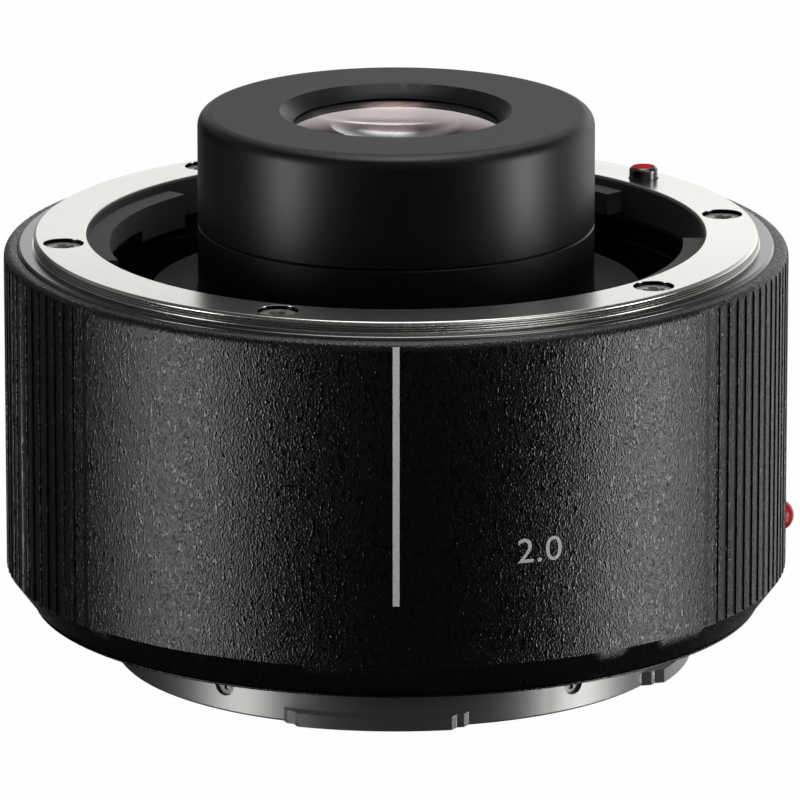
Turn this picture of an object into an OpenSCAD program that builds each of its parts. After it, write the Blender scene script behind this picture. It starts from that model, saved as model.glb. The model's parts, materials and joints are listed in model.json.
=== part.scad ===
// Camera teleconverter, standing on its rear bayonet.
// Z is the optical axis and z = 0 is the rear mount face, so the front of the converter is up.
// Angles are counter-clockwise from +X, seen from the front. The index line is at -90.

/* [Bayonets] */
// Distance from the rear mount face to the front mount face
flange_gap = 36; // [35:0.5:42]
// Outer diameter of the rear bayonet's barrel
bayonet_d = 53.2; // [52:0.2:54]
// Wall of the rear bayonet's barrel
bayonet_wall = 1.7; // [1.4:0.1:2]
// Length of the rear bayonet's barrel below the mount face
bayonet_len = 4.73; // [4.6:0.01:5.2]
// How far the claws stand out of the barrel
claw_reach = 1.4; // [1:0.1:1.6]
// Thickness of a claw along the axis
claw_t = 1.28; // [1:0.02:1.4]
// Height of the claws above the end of the barrel
claw_lift = 0.08; // [0.05:0.01:0.3]
// Arc of a claw in degrees
claw_arc = 37.8; // [34:0.2:38.4]
// Arc of each chamfer and of the land at a claw's ends
claw_end_arc = 1.4; // [1:0.1:2]
// Angle of the middle of the first claw
claw_az = -94.2; // [-96:0.2:-92]
// Angle between the two claws of a pair
claw_pair = 83; // [81:1:86]
// Arc by which the key claw is narrower than the others, so that a lens fits one way only
key_arc = 14; // [8:0.5:16]
// Radial gap between the barrel and the front mount's lugs
lug_fit = 0.4; // [0.2:0.1:0.6]
// Depth of the lugs below the front mount face
lug_drop = 0.93; // [0.8:0.01:1.7]
// Thickness of a lug along the axis
lug_t = 2.12; // [1.2:0.02:2.3]
// Free arc before each lug, which a claw passes through
lug_gap_arc = 39.5; // [39:0.5:42]
// Angle at which the first lug starts
lug_az = 41.5; // [40:0.5:43]
// Arc of the stop that ends the turn of a lens
stop_arc = 15; // [8:1:18]
// Depth of the stop below the front mount face
stop_depth = 4.2; // [3.6:0.1:4.6]

/* [Front mount ring] */
// Radial gap between the claws and the throat of the ring
throat_fit = 1; // [0.6:0.1:1.2]
// Radial width of the polished mount face
land_w = 5.08; // [4.8:0.02:5.3]
// Height of the mount face above the ring's outer skirt
land_step = 1; // [0.6:0.1:1.4]
// Thickness of the outer skirt
skirt_t = 1.35; // [1:0.05:1.6]
// Thickness of the whole ring
ring_t = 3.4; // [3.2:0.05:3.6]
// Bevel on the edges of the mount face
ring_bevel = 0.22; // [0.1:0.02:0.4]
// Angles of the ring's screws
ring_screw_az = [11.7, 68, 125.9, 188.8, 250, 318.8]; // [0:0.1:360]
// How many of the ring's screws, counted from the last, stand on full length posts
post_n = 4; // [2:1:4]
// Distance of the ring's screws inside the edge of the mount face
ring_screw_inset = 2.58; // [2.4:0.02:2.7]
// Thickness of the flat bayonet spring under the ring
spring_plate_t = 0.3; // [0.2:0.05:0.4]
// Arc of a finger of the bayonet spring
finger_arc = 20; // [14:1:22]
// Width of a finger of the bayonet spring
finger_w = 1.2; // [0.9:0.1:1.4]

/* [Rear mount ring] */
// Diameter of the rear mount face
rear_flange_d = 64.8; // [64.2:0.1:65]
// Thickness of the rear flange
rear_flange_t = 2.2; // [1.8:0.1:2.6]
// Radial width of the relief between the barrel and the rear mount face
relief_w = 2.6; // [2:0.1:2.8]
// Depth of that relief
relief_depth = 0.25; // [0.1:0.05:0.5]
// Angles of the rear mount's screws
rear_screw_az = [15, 85, 157, 219, 285]; // [0:1:360]
// Distance of the rear screws inside the edge of the rear flange
rear_screw_inset = 1.9; // [1.8:0.1:2]
// Angles of the four radial screws in the barrel
baffle_screw_az = [-126.9, -51.7, 49.3, 128.3]; // [-180:0.1:180]
// Depth of those screws below the rear mount face
baffle_screw_z = 2.1; // [1.8:0.1:2.2]
// Diameter of the dimples that hold them
dimple_d = 2.2; // [1.9:0.1:2.4]
// Depth of the dimples
dimple_depth = 0.85; // [0.6:0.05:1]
// Thickness of the rear mask's plate
baffle_plate_t = 1; // [0.8:0.1:1.2]
// Wall of the rear mask's skirt
baffle_wall = 1.5; // [1.2:0.1:1.8]
// Depth of the rear mask's skirt below the rear mount face
baffle_skirt = 3.4; // [3.2:0.1:3.8]
// Width of the rear window
window_w = 33; // [30:0.5:35]
// Height of the rear window
window_h = 23; // [20:0.5:25]
// Corner rounding of the rear window
window_round = 3; // [2:0.5:5]

/* [Outer barrel] */
// Outer diameter of the barrel
barrel_d = 73.8; // [73.4:0.2:75]
// Wall of the barrel in its middle
barrel_wall = 1.9; // [1.6:0.1:2.1]
// Wall of the rim round the front ring
rim_wall = 1.25; // [1:0.05:1.5]
// Depth of the rim below the front mount face
rim_drop = 1.3; // [1.15:0.05:1.6]
// Rounding of the rim
rim_round = 0.8; // [0.3:0.1:0.9]
// Height of the barrel's lower edge above the rear mount face
base_z = 0.95; // [0.8:0.05:1.1]
// Height of the top of the bottom chamfer
chamfer_z = 4.1; // [3.6:0.1:4.8]
// How far the bottom chamfer runs in
chamfer_in = 2.35; // [2:0.05:2.5]
// Radial gap between the rear flange and the barrel's lip
lip_fit = 0.2; // [0.1:0.05:0.4]
// Wall of the barrel round the rear base, at the lip
foot_wall = 1.5; // [1.3:0.1:1.7]
// Height of the straight wall above the rear base
foot_h = 0.6; // [0.4:0.1:1]
// Height of the cone that widens the barrel above it
foot_cone_h = 1.4; // [1.2:0.1:2]
// Number of grip teeth in a full turn
tooth_n = 144; // [120:12:160]
// Depth of the grip teeth
tooth_depth = 0.14; // [0.1:0.02:0.5]
// Half the arc of the smooth front and back panels
panel_half = 50.5; // [48:0.5:53]
// Arc of the narrow crest of a tooth
crest_arc = 0.35; // [0.2:0.05:0.6]
// Arc of the ramp that ends a panel
panel_ramp_arc = 1.3; // [0.8:0.1:1.6]
// Arc of the wide groove at the edge of a panel
panel_groove_arc = 3.5; // [2.5:0.5:4.5]
// Height of the thin ring under the barrel
trim_h = 0.4; // [0.35:0.05:0.5]
// Depth of the groove in that ring
trim_groove = 0.5; // [0.3:0.1:0.8]
// Angle of the red index bead
bead_az = 3; // [1:0.5:5]
// Height of the index bead
bead_z = 7.7; // [7.2:0.1:10]
// Diameter of the index bead
bead_d = 2.8; // [2.4:0.1:3]
// Diameter of the bead's stem in the wall
bead_stem_d = 2; // [1.6:0.1:2.2]
// How far the bead stands out of the barrel
bead_out = 0.9; // [0.6:0.05:1.1]

/* [Lens tube] */
// Outer diameter of the lens tube
tube_d = 37.3; // [36.6:0.1:38]
// Height of the tube's front above the front mount face
tube_rise = 11.66; // [11:0.02:14]
// Height of the seam between tube and front cap above the front mount face
seam_rise = 0.88; // [0.6:0.02:1.4]
// Rounding of the front cap's outer edge
cap_round = 1.4; // [0.8:0.1:1.6]
// Diameter of the recess in the front cap
recess_d = 21.86; // [21.4:0.02:23]
// Diameter of the clear front glass
front_clear_d = 19.2; // [18.6:0.1:19.6]
// Depth of the glass rim below the front of the cap
recess_depth = 1.32; // [1.1:0.02:1.8]
// Wall of the cap and of the tube
tube_wall = 1.45; // [1.2:0.05:1.7]
// Wall of the lens cells
cell_wall = 1.6; // [1.3:0.1:1.8]
// Thickness of the cap over its pocket
cap_roof = 4.22; // [3.6:0.02:5]
// Length of the cap's spigot in the tube
spigot_len = 3; // [2:0.1:3.6]
// Height of the tube's lower end above the rear mount face
tube_foot = 5; // [4.8:0.1:5.4]
// Height of the tube's fixing flange above the rear mount face
tube_flange_z = 10.4; // [10:0.1:10.8]
// Thickness of the tube's fixing flange
tube_flange_t = 1.6; // [1.4:0.1:2]
// Width of the tube's fixing flange
tube_flange_w = 3.4; // [3.2:0.1:3.5]
// Bevel on both sides of the seam
seam_bevel = 0.15; // [0.05:0.05:0.3]

/* [Lens elements] */
// Diameter of the front and middle elements
front_glass_d = 21.2; // [20.8:0.1:21.6]
// Diameter of the rear convex element
rear_convex_d = 24; // [23:0.2:25]
// Diameter of the rear meniscus
rear_meniscus_d = 27; // [26.4:0.2:28]
// Thickness of the front convex element
front_convex_t = 4.2; // [3.8:0.1:4.6]
// Thickness of the front meniscus
front_meniscus_t = 1.3; // [1:0.1:1.6]
// Thickness of the two thin elements of the middle triplet
triplet_thin_t = 1.2; // [1:0.1:1.6]
// Thickness of the thick element of the middle triplet
triplet_core_t = 6.6; // [6.2:0.1:7.2]
// Thickness of the rear convex element
rear_convex_t = 5.6; // [5.2:0.1:6.2]
// Thickness of the rear meniscus
rear_meniscus_t = 1.6; // [1.2:0.1:2]
// Air gap between the front doublet and the middle triplet, at the edge
front_air = 5.6; // [4.8:0.1:6]
// Air gap between the two rear elements, at the edge
rear_air = 3.4; // [3:0.1:4]
// Radial width of the seats that hold the elements
glass_lip = 1; // [0.8:0.1:1.2]
// Radial width of the rear retaining ring
retainer_w = 2; // [1.6:0.1:2.4]
// Depth of the spanner slots in the rear retaining ring
spanner_depth = 0.8; // [0.5:0.1:1]
// Depth of the rear meniscus in its cell
rear_ring_h = 2.4; // [1.8:0.1:3]

/* [Inner frame] */
// Depth of the floor round the lens tube below the front mount face
floor_depth = 5.5; // [5.2:0.1:6]
// Diameter of that floor
floor_d = 46.2; // [45.8:0.1:46.6]
// Depth of the trench round the floor, below the floor
trench_depth = 4; // [3.6:0.1:4.6]
// Thickness of the trench's bottom
trench_t = 1.5; // [1.2:0.1:1.8]
// Depth of the ledge in the trench's outer wall, below the front mount face
ledge_depth = 5.7; // [5.4:0.1:6]
// Width of that ledge
ledge_w = 0.4; // [0.3:0.05:0.5]
// Wall of the trench
trench_wall = 1; // [0.8:0.1:1.1]
// Thickness of the rim that carries the front ring
rim_plate_t = 1.7; // [1.5:0.1:2]
// Wall of the sleeve round the lens tube
sleeve_wall = 3.9; // [3.8:0.1:4]
// Diameter of the screw posts
post_d = 3.6; // [3.4:0.1:3.8]
// Length of the short screw bosses under the rim
boss_len = 4; // [3.4:0.1:4.6]
// Thickness of the rear base
base_t = 2.4; // [2.2:0.1:2.8]
// Inner diameter of the rear base
base_bore_d = 48; // [47.6:0.1:48.4]

/* [Contacts] */
// Angle of the middle of the contact blocks
contact_az = -55; // [-57:0.5:-53]
// Angle from one contact to the next
contact_pitch = 4.4; // [4.2:0.1:4.6]
// Diameter of the circle that the contacts lie on
contact_circle_d = 45.9; // [45.7:0.1:46.1]
// Diameter of a contact pin
contact_d = 0.9; // [0.7:0.05:1]
// Diameter of a contact pin's collar
collar_d = 1.3; // [1.2:0.02:1.36]
// Travel of a contact pin
contact_travel = 0.8; // [0.5:0.1:0.9]
// How far a contact still stands out at the end of its travel
contact_left = 0.1; // [0.05:0.05:0.2]
// Arc of the contact blocks past the outer contacts
block_end_arc = 7; // [6.6:0.1:7.4]
// Arc from a block's end to its screw
block_screw_arc = 2.4; // [2.2:0.1:2.6]
// Distance of the front block's screws inside the circle of contacts
block_screw_in = 0.6; // [0.5:0.05:0.7]
// Radial width of the contact blocks
block_w = 3.2; // [3.1:0.05:3.3]
// Height of the front contact block
block_h = 4; // [3.8:0.1:4.4]
// How deep the front contact block sits in the floor
block_sink = 3; // [2.8:0.1:3.2]
// Height of the rear contact block
rear_block_h = 4.3; // [4:0.1:4.4]
// Diameter of a rear contact pad
pad_d = 1.2; // [1:0.05:1.3]
// Depth of the sockets for the rear pads
pad_depth = 0.5; // [0.3:0.05:0.7]
// How far a rear pad stands out of its block
pad_out = 0.1; // [0.05:0.05:0.2]
// Thickness of the circuit board
board_t = 1; // [0.8:0.1:1.2]
// Arc of the circuit board
board_arc = 150; // [140:2:156]
// Arc of the circuit board before the contacts
board_lead = 105; // [100:1:110]
// Radial width of the circuit board
board_w = 5.6; // [5.4:0.1:5.8]
// Height of the posts under the circuit board
standoff_h = 1.4; // [1.2:0.1:1.8]
// Height of the flat cable's connector
connector_h = 1.2; // [1:0.1:1.6]
// Side of the chips on the circuit board
chip_w = 4; // [3:0.2:4.6]
// Gap between the flat cables and the edges that they pass
flex_gap = 0.7; // [0.6:0.05:0.8]
// Thickness of the flat cables
flex_t = 0.15; // [0.1:0.05:0.2]
// Width of the flat cables
flex_w = 6; // [4:0.5:6.5]

/* [Lens lock] */
// Angle of the lock pin
lock_az = 41; // [40:0.5:42]
// Distance of the lock pin from the edge of the mount face
lock_inset = 2.63; // [2.5:0.01:2.7]
// Diameter of the lock pin
lock_d = 2.72; // [2.5:0.02:2.8]
// Height of the lock pin above the front mount face
lock_out = 1.15; // [1:0.05:1.25]
// Travel of the lock pin
lock_travel = 1.3; // [1.25:0.05:1.5]
// Diameter of the red mark on the lock pin
mark_d = 2; // [1.6:0.1:2.1]
// Diameter of the cross pin that follows the cam
follower_d = 1; // [0.8:0.05:1.1]
// Depth of the follower below the frame's rim
follower_drop = 1.9; // [1.8:0.1:2.4]
// Depth of the red mark in the lock pin
mark_depth = 0.3; // [0.2:0.05:0.5]
// Wall of the lock pin under its follower
shoulder_wall = 0.6; // [0.4:0.05:0.9]
// How far the stem reaches below its bracket
stem_out = 0.6; // [0.4:0.1:1]
// Diameter of the lock pin's stem
stem_d = 1.2; // [1:0.05:1.3]
// Length of the lock spring
lock_spring_len = 6.2; // [5.8:0.1:6.8]
// Mean diameter of the lock spring
lock_spring_d = 2.2; // [2.1:0.05:2.3]
// Wire of the lock spring
wire_d = 0.3; // [0.24:0.02:0.32]
// Turns of the lock spring
lock_turns = 7; // [5:1:7]
// Thickness of the lock's bracket
bracket_t = 1; // [0.8:0.1:1.2]
// How far the bracket reaches past the lock pin, towards the cam
bracket_lip = 0.25; // [0.15:0.05:0.25]

/* [Release lever] */
// Angle of the middle of the release lever
release_az = 55; // [54:0.5:56]
// Turn of the release lever
release_turn = 5; // [4:0.5:5.5]
// Arc of the lever's neck in the barrel
release_arc = 10; // [9:0.5:11]
// Height of the lever's neck
release_h = 3.8; // [3.4:0.1:4.2]
// Depth of the middle of the lever below the front mount face
release_drop = 9.8; // [9.6:0.1:10]
// How far the lever's head stands out of the barrel
release_out = 1.9; // [1.5:0.1:2.2]
// Width of the head's rim round the neck
release_rim = 0.9; // [0.5:0.1:1.2]
// Free arc at each end of the lever's slot
slot_gap_arc = 0.5; // [0.4:0.05:0.8]
// Number of finger grooves in the lever's head
rib_n = 5; // [3:1:6]
// Diameter of the finger grooves
rib_d = 0.8; // [0.5:0.1:1]
// Gap between the cam plate and the barrel's wall
cam_gap = 0.4; // [0.3:0.05:0.5]
// Arc of the cam plate past its slot
cam_lead = 6; // [5:0.5:8]
// Arc of the cam plate past the lever's neck
cam_tail = 2; // [1:0.5:3]
// Gap round the follower in the cam's slot
cam_slot_fit = 0.15; // [0.12:0.01:0.2]
// Length of the lever's screws past the cam plate
release_thread = 1.6; // [1.2:0.1:1.8]
// Thickness of the cam plate
cam_t = 0.9; // [0.8:0.05:1]
// Height of the cam plate
cam_h = 6.4; // [6:0.1:6.6]

/* [Fits and screws] */
// Gap between pieces that sit in one another
fit = 0.05; // [0.03:0.01:0.08]
// Gap between pieces that move past one another
run = 0.3; // [0.25:0.05:0.35]
// Radial gap of a pin that runs in a bore
pin_fit = 0.04; // [0.02:0.01:0.08]
// Diameter of the main screws
screw_d = 1.9; // [1.6:0.1:2]
// Diameter of the main screws' heads
head_d = 3.5; // [3.2:0.1:3.6]
// Height of the main screws' heads
head_h = 1.1; // [0.9:0.05:1.2]
// Depth of a screw head below the face round it
head_sink = 0.35; // [0.1:0.05:0.5]
// Thread of the main screws in the posts
thread_len = 4; // [3:0.2:5]
// Thread of the small screws
small_thread_len = 3; // [2:0.2:4]
// Room under the tip of a screw
tip_gap = 0.2; // [0.1:0.05:0.4]
// Diameter of the small screws
small_screw_d = 1.2; // [1:0.1:1.3]
// Diameter of the small screws' heads
small_head_d = 2; // [1.8:0.1:2.1]
// Height of the small screws' heads
small_head_h = 0.8; // [0.6:0.05:0.9]

/* [Hidden] */
$fn = 128;
// How far a cut runs past the face that it opens
cut = 1;
// Cross recess of a screw, as shares of its head
recess_span = 0.58;
recess_slot = 0.24;
recess_deep = 0.5;

// Bayonet radii, from the axis outwards
bayonet_r = bayonet_d / 2;
bayonet_bore_r = bayonet_r - bayonet_wall;
claw_r = bayonet_r + claw_reach;
lug_r = bayonet_r + lug_fit;
throat_r = claw_r + throat_fit;
land_r = throat_r + land_w;
rear_flange_r = rear_flange_d / 2;
rear_screw_r = rear_flange_r - rear_screw_inset;
rear_head_d = 2 * rear_screw_inset - 3 * run;
ring_screw_r = land_r - ring_screw_inset;
pair_az = [0, claw_pair, 180, 180 + claw_pair];
lug_starts = [for (a = [0, 180 - claw_pair, 180, 360 - claw_pair]) lug_az + a];
lug_key_arcs = [0, key_arc, 0, 0];
lug_pitches = [180 - claw_pair, claw_pair, 180 - claw_pair, claw_pair];
lug_arcs = [for (i = [0 : 3]) lug_pitches[i] - lug_gap_arc + lug_key_arcs[i]];
claw_key_arcs = [0, 0, 0, key_arc];

// Barrel radii and heights
barrel_r = barrel_d / 2;
barrel_in_r = barrel_r - barrel_wall;
skirt_seat_r = barrel_r - rim_wall;
skirt_r = skirt_seat_r - fit;
foot_r = barrel_r - chamfer_in;
lip_r = rear_flange_r + lip_fit;
rim_z = flange_gap - rim_drop;
skirt_z = flange_gap - land_step - skirt_t;
ring_z = flange_gap - ring_t;
base_seat_z = rear_flange_t;
base_top_z = base_seat_z + base_t;
foot_slope = chamfer_in / (chamfer_z - base_z);
base_seat_r = foot_r + foot_slope * (base_seat_z - base_z) - foot_wall;
base_r = base_seat_r - fit;
tooth_pitch = 360 / tooth_n;
trim_r = foot_r - 3 * fit;

// Frame radii and heights
tube_r = tube_d / 2;
sleeve_in_r = tube_r + fit;
sleeve_r = sleeve_in_r + sleeve_wall;
floor_r = floor_d / 2;
floor_z = flange_gap - floor_depth;
trench_z = floor_z - trench_depth;
ledge_z = flange_gap - ledge_depth;
plate_z = trench_z - trench_t;
rim_top_z = ring_z - spring_plate_t;
rim_under_z = rim_top_z - rim_plate_t;
trench_out_r = throat_r + trench_wall;
rim_plate_r = land_r - fit;
tube_flange_r = tube_r + tube_flange_w;
sleeve_z = tube_flange_z + tube_flange_t;
boss_z = rim_under_z - boss_len;
boss_hole_z = boss_z + screw_d / 2;
ring_head_z = flange_gap - head_sink - head_h;
tube_screw_r = tube_r + tube_flange_w / 2;
tube_screw_az = [90, 210, 330];
post_az = [for (i = [len(ring_screw_az) - post_n : len(ring_screw_az) - 1]) ring_screw_az[i]];

// Lens surfaces: radii of the spheres, and the heights that follow from them
front_convex_out = 60;
front_cement = 40;
front_meniscus_out = 120;
triplet_front_out = 45;
triplet_cement_front = 22;
triplet_cement_rear = 24;
triplet_rear_out = 40;
rear_convex_front = 50;
rear_convex_back = 32;
rear_meniscus_front = 28;
rear_meniscus_back = 70;
function sag(ball, r) = ball - sqrt(ball * ball - r * r);
front_glass_r = front_glass_d / 2;
clear_r = front_clear_d / 2;
rear_convex_r = rear_convex_d / 2;
rear_meniscus_r = rear_meniscus_d / 2;
cap_z = flange_gap + tube_rise;
seam_z = flange_gap + seam_rise;
glass_rim_z = cap_z - recess_depth;
front_apex_z = glass_rim_z + sag(front_convex_out, clear_r);
front_convex_z = front_apex_z - front_convex_t;
front_meniscus_top = front_convex_z - fit;
front_meniscus_z = front_meniscus_top - front_meniscus_t;
front_spacer_top = front_meniscus_z + sag(front_meniscus_out, front_glass_r - glass_lip) - fit;
front_spacer_z = front_spacer_top - front_air;
triplet_front_top = front_spacer_z - sag(triplet_front_out, front_glass_r);
triplet_front_z = triplet_front_top - triplet_thin_t;
triplet_core_top = triplet_front_z - fit;
triplet_core_z = triplet_core_top - triplet_core_t;
triplet_rear_top = triplet_core_z - fit;
triplet_rear_z = triplet_rear_top - triplet_thin_t;
triplet_seat_z = triplet_rear_z - sag(triplet_rear_out, front_glass_r);
rear_ring_top = tube_foot + rear_ring_h;
rear_meniscus_z = rear_ring_top + fit - sag(rear_meniscus_back, rear_meniscus_r - retainer_w);
rear_meniscus_top = rear_meniscus_z + rear_meniscus_t;
rear_cell_z = rear_meniscus_top + sag(rear_meniscus_front, rear_meniscus_r);
rear_spacer_top = rear_cell_z + rear_air;
rear_convex_z = rear_spacer_top + fit - sag(rear_convex_back, rear_convex_r - glass_lip);
rear_convex_top = rear_convex_z + rear_convex_t;
rear_seat_z = rear_convex_top + fit - sag(rear_convex_front, rear_convex_r - glass_lip);
waist_cone_h = 2;
cell_in_r = front_glass_r + fit;
cell_r = cell_in_r + cell_wall;
pocket_r = tube_r - tube_wall;

// Contacts: each block holds ten, and each front contact is a piece of its own
contact_n = 10;
contact_r = contact_circle_d / 2;
block_in_r = contact_r - block_w / 2;
block_out_r = contact_r + block_w / 2;
block_half = contact_pitch * (contact_n - 1) / 2 + block_end_arc;
block_screw_az = block_half - block_screw_arc;
block_screw_r = contact_r - block_screw_in;
block_gap_arc = 0.2;
block_z = floor_z - block_sink;
block_top = block_z + block_h;
block_skin = 0.5;
collar_h = 0.4;
contact_tip_z = block_top + contact_travel + contact_left;
collar_top_z = block_top - block_skin;
chamber_r = collar_d / 2 + fit;
chamber_h = collar_h + contact_travel + fit;
function contact_angle(i) = contact_az + contact_pitch * (i - (contact_n - 1) / 2);
board_z = base_top_z + standoff_h;
board_top = board_z + board_t;
board_in_r = contact_r;
board_mid_r = board_in_r + board_w / 2;
board_start = contact_az - board_lead;
board_screw_end_arc = 12;
board_screw_mid_arc = 67;
board_screw_az = [
    board_start + board_screw_end_arc, board_start + board_screw_mid_arc,
    board_start + board_arc - board_screw_end_arc
];
chip_lead_arc = 30;
chip_pitch_arc = 18;
chip_az = [board_start + chip_lead_arc, board_start + chip_lead_arc + chip_pitch_arc];
chip_h = 1;
flex_r = floor_r + flex_gap;
base_bore_r = base_bore_d / 2;
rear_flex_r = base_bore_r - flex_gap;
baffle_r = bayonet_bore_r - fit;
rear_block_r = baffle_r - fit;
rear_block_in_r = rear_block_r - block_w;

// Lens lock and release
lock_r = land_r - lock_inset;
lock_top_z = flange_gap + lock_out;
follower_z = rim_under_z - follower_drop;
lock_shoulder_z = follower_z - follower_d / 2 - shoulder_wall;
shelf_top_z = lock_shoulder_z - lock_spring_len;
shelf_z = shelf_top_z - bracket_t;
stem_z = shelf_z - stem_out;
cam_r = barrel_in_r - cam_gap;
cam_in_r = cam_r - cam_t;
cam_top_z = rim_under_z - run;
cam_z = cam_top_z - cam_h;
cam_slot_r = follower_d / 2 + cam_slot_fit;
cam_start = lock_az - release_turn - cam_lead;
cam_end = release_az + release_arc / 2 + cam_tail;
release_z = flange_gap - release_drop;
release_head_r = barrel_r + run;
release_neck_r = cam_r + fit;
bracket_in = -lock_d / 2 - fit;
bracket_half = lock_d / 2 + run;
tab_half = bracket_half + bracket_t + small_head_d + fit;
bracket_out = lock_d / 2 + bracket_lip;
bracket_screw_y = bracket_half + bracket_t + small_head_d / 2 + fit;

// Coil of the lock spring, and the free gap between its turns
coil_sides = 6;
coil_rings = 8;
coil_r = lock_spring_d / 2;
coil_low = shelf_top_z + wire_d / 2 + fit;
coil_rise = lock_spring_len - wire_d - 2 * fit;
coil_pitch = coil_rise / lock_turns;
coil_gap = coil_pitch * cos(atan(coil_pitch / (2 * PI * coil_r))) - wire_d;
echo(lock_spring_self_gap = coil_gap);

// Points and shapes used by several pieces
function polar(r, a) = [r * cos(a), r * sin(a)];
function quarter(r, z, size) =
    [for (a = [0 : 15 : 90]) [r - size + size * cos(a), z - size + size * sin(a)]];

module band(r_in, r_out, low, high) {
    rotate_extrude() translate([r_in, low]) square([r_out - r_in, high - low]);
}

module arc_band(r_in, r_out, low, high, start, arc) {
    rotate([0, 0, start])
        rotate_extrude(angle = arc) translate([r_in, low]) square([r_out - r_in, high - low]);
}

module at(az, r, z) {
    rotate([0, 0, az]) translate([r, 0, z]) children();
}

module post(d, low, high) {
    translate([0, 0, low]) cylinder(d = d, h = high - low);
}

// A cylinder along the radius, from r_in to r_out
module radial(d, r_in, r_out) {
    translate([r_in, 0, 0]) rotate([0, 90, 0]) cylinder(d = d, h = r_out - r_in);
}

module cross_recess(size, depth) {
    slot = size * recess_slot / recess_span;
    for (turn = [0, 90])
        rotate([0, 0, turn]) translate([-size / 2, -slot / 2, -depth]) cube([size, slot, depth + cut]);
}

// A screw that points down, with the top of its head at z = 0
module screw(d, d_head, h_head, length) {
    difference() {
        union() {
            post(d_head, -h_head, 0);
            post(d, -h_head - length, -h_head);
        }
        cross_recess(d_head * recess_span, h_head * recess_deep);
    }
}

// The outer barrel: a turned shell with toothed grips on its two sides
module barrel_shell() {
    rotate_extrude() polygon(concat(
        [[lip_r, base_z], [foot_r - fit, base_z], [foot_r, base_z + fit], [barrel_r, chamfer_z]],
        quarter(barrel_r, rim_z, rim_round),
        [
            [skirt_seat_r, rim_z],
            [skirt_seat_r, skirt_z],
            [barrel_in_r, skirt_z],
            [barrel_in_r, base_top_z + foot_h + foot_cone_h],
            [base_seat_r, base_top_z + foot_h],
            [base_seat_r, base_seat_z],
            [lip_r, base_seat_z]
        ]
    ));
}

// Saw teeth of one grip, as cuts. Angles run from the index line towards the side.
module grip_cuts() {
    root_r = barrel_r - tooth_depth;
    clear_of = barrel_r + cut;
    first = panel_half + panel_groove_arc;
    last = 180 - first;
    count = floor((last - first) / tooth_pitch);
    last_crest = first + count * tooth_pitch;
    back_edge = 180 - panel_half;
    translate([0, 0, -fit]) linear_extrude(flange_gap) rotate(-90) {
        polygon([
            polar(barrel_r + fit, panel_half - crest_arc),
            polar(root_r, panel_half + panel_ramp_arc),
            polar(root_r, first),
            polar(clear_of, first)
        ]);
        for (i = [0 : count - 1])
            let (a = first + i * tooth_pitch)
            polygon([
                polar(barrel_r + fit, a + crest_arc),
                polar(root_r, a + tooth_pitch),
                polar(clear_of, a + tooth_pitch)
            ]);
        polygon([
            polar(barrel_r + fit, last_crest + crest_arc),
            polar(root_r, last_crest + 2 * crest_arc),
            polar(root_r, back_edge - panel_ramp_arc),
            polar(barrel_r + fit, back_edge + crest_arc),
            polar(clear_of, (last_crest + back_edge) / 2)
        ]);
    }
}

module outer_barrel() {
    slot_arc = release_arc + release_turn + 2 * slot_gap_arc;
    slot_h = release_h + 2 * run;
    color("#1b1b1c") difference() {
        barrel_shell();
        grip_cuts();
        mirror([1, 0, 0]) grip_cuts();
        arc_band(
            barrel_in_r - cut, barrel_r + cut, release_z - slot_h / 2, release_z + slot_h / 2,
            release_az - release_arc / 2 - slot_gap_arc, slot_arc
        );
        rotate([0, 0, bead_az]) translate([0, 0, bead_z]) {
            radial(bead_stem_d + 2 * fit, barrel_in_r - cut, barrel_r);
            radial(bead_d + 2 * fit, barrel_r - tooth_depth - fit, barrel_r + cut);
        }
    }
}

module rear_ring() {
    neck_r = trim_r - trim_groove;
    low = base_z - trim_h;
    mid = base_z - trim_h / 2;
    color("#2a2a2c") rotate_extrude() polygon([
        [lip_r, low], [trim_r - fit, low], [trim_r, low + fit], [trim_r, mid],
        [neck_r, mid], [neck_r, base_z], [lip_r, base_z]
    ]);
}

module index_bead() {
    ball = (pow(bead_d / 2, 2) + pow(bead_out, 2)) / (2 * bead_out);
    seat = barrel_r - tooth_depth - fit;
    top = barrel_r + bead_out;
    color("#d8232a") rotate([0, 0, bead_az]) translate([0, 0, bead_z]) rotate([0, 90, 0])
        rotate_extrude() {
            translate([0, barrel_in_r + fit]) square([bead_stem_d / 2, seat - barrel_in_r]);
            intersection() {
                translate([0, seat]) square([bead_d / 2, top + cut - seat]);
                translate([0, top - ball]) circle(ball);
            }
        }
}

// The front mount: a turned ring with four lugs, a stop, screw holes and the lock pin's hole
module front_mount() {
    lug_top = flange_gap - lug_drop;
    lug_root = 0.5;
    color("#c9c9c6") difference() {
        union() {
            rotate_extrude() polygon([
                [throat_r, ring_z],
                [land_r, ring_z],
                [land_r, skirt_z],
                [skirt_r, skirt_z],
                [skirt_r, flange_gap - land_step - ring_bevel],
                [skirt_r - ring_bevel, flange_gap - land_step],
                [land_r, flange_gap - land_step],
                [land_r, flange_gap - ring_bevel],
                [land_r - ring_bevel, flange_gap],
                [throat_r + ring_bevel, flange_gap],
                [throat_r, flange_gap - ring_bevel]
            ]);
            for (i = [0 : 3])
                arc_band(lug_r, throat_r + lug_root, lug_top - lug_t, lug_top, lug_starts[i], lug_arcs[i]);
            arc_band(
                lug_r, throat_r - 2 * fit, flange_gap - stop_depth, lug_top - lug_t / 2,
                lug_starts[1], stop_arc
            );
        }
        for (a = ring_screw_az)
            at(a, ring_screw_r, 0) {
                post(screw_d + run, ring_z - cut, flange_gap);
                post(head_d + run, ring_head_z, flange_gap + cut);
            }
        at(lock_az, lock_r, 0) post(lock_d + 4 * pin_fit, ring_z - cut, flange_gap + cut);
    }
}

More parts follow.
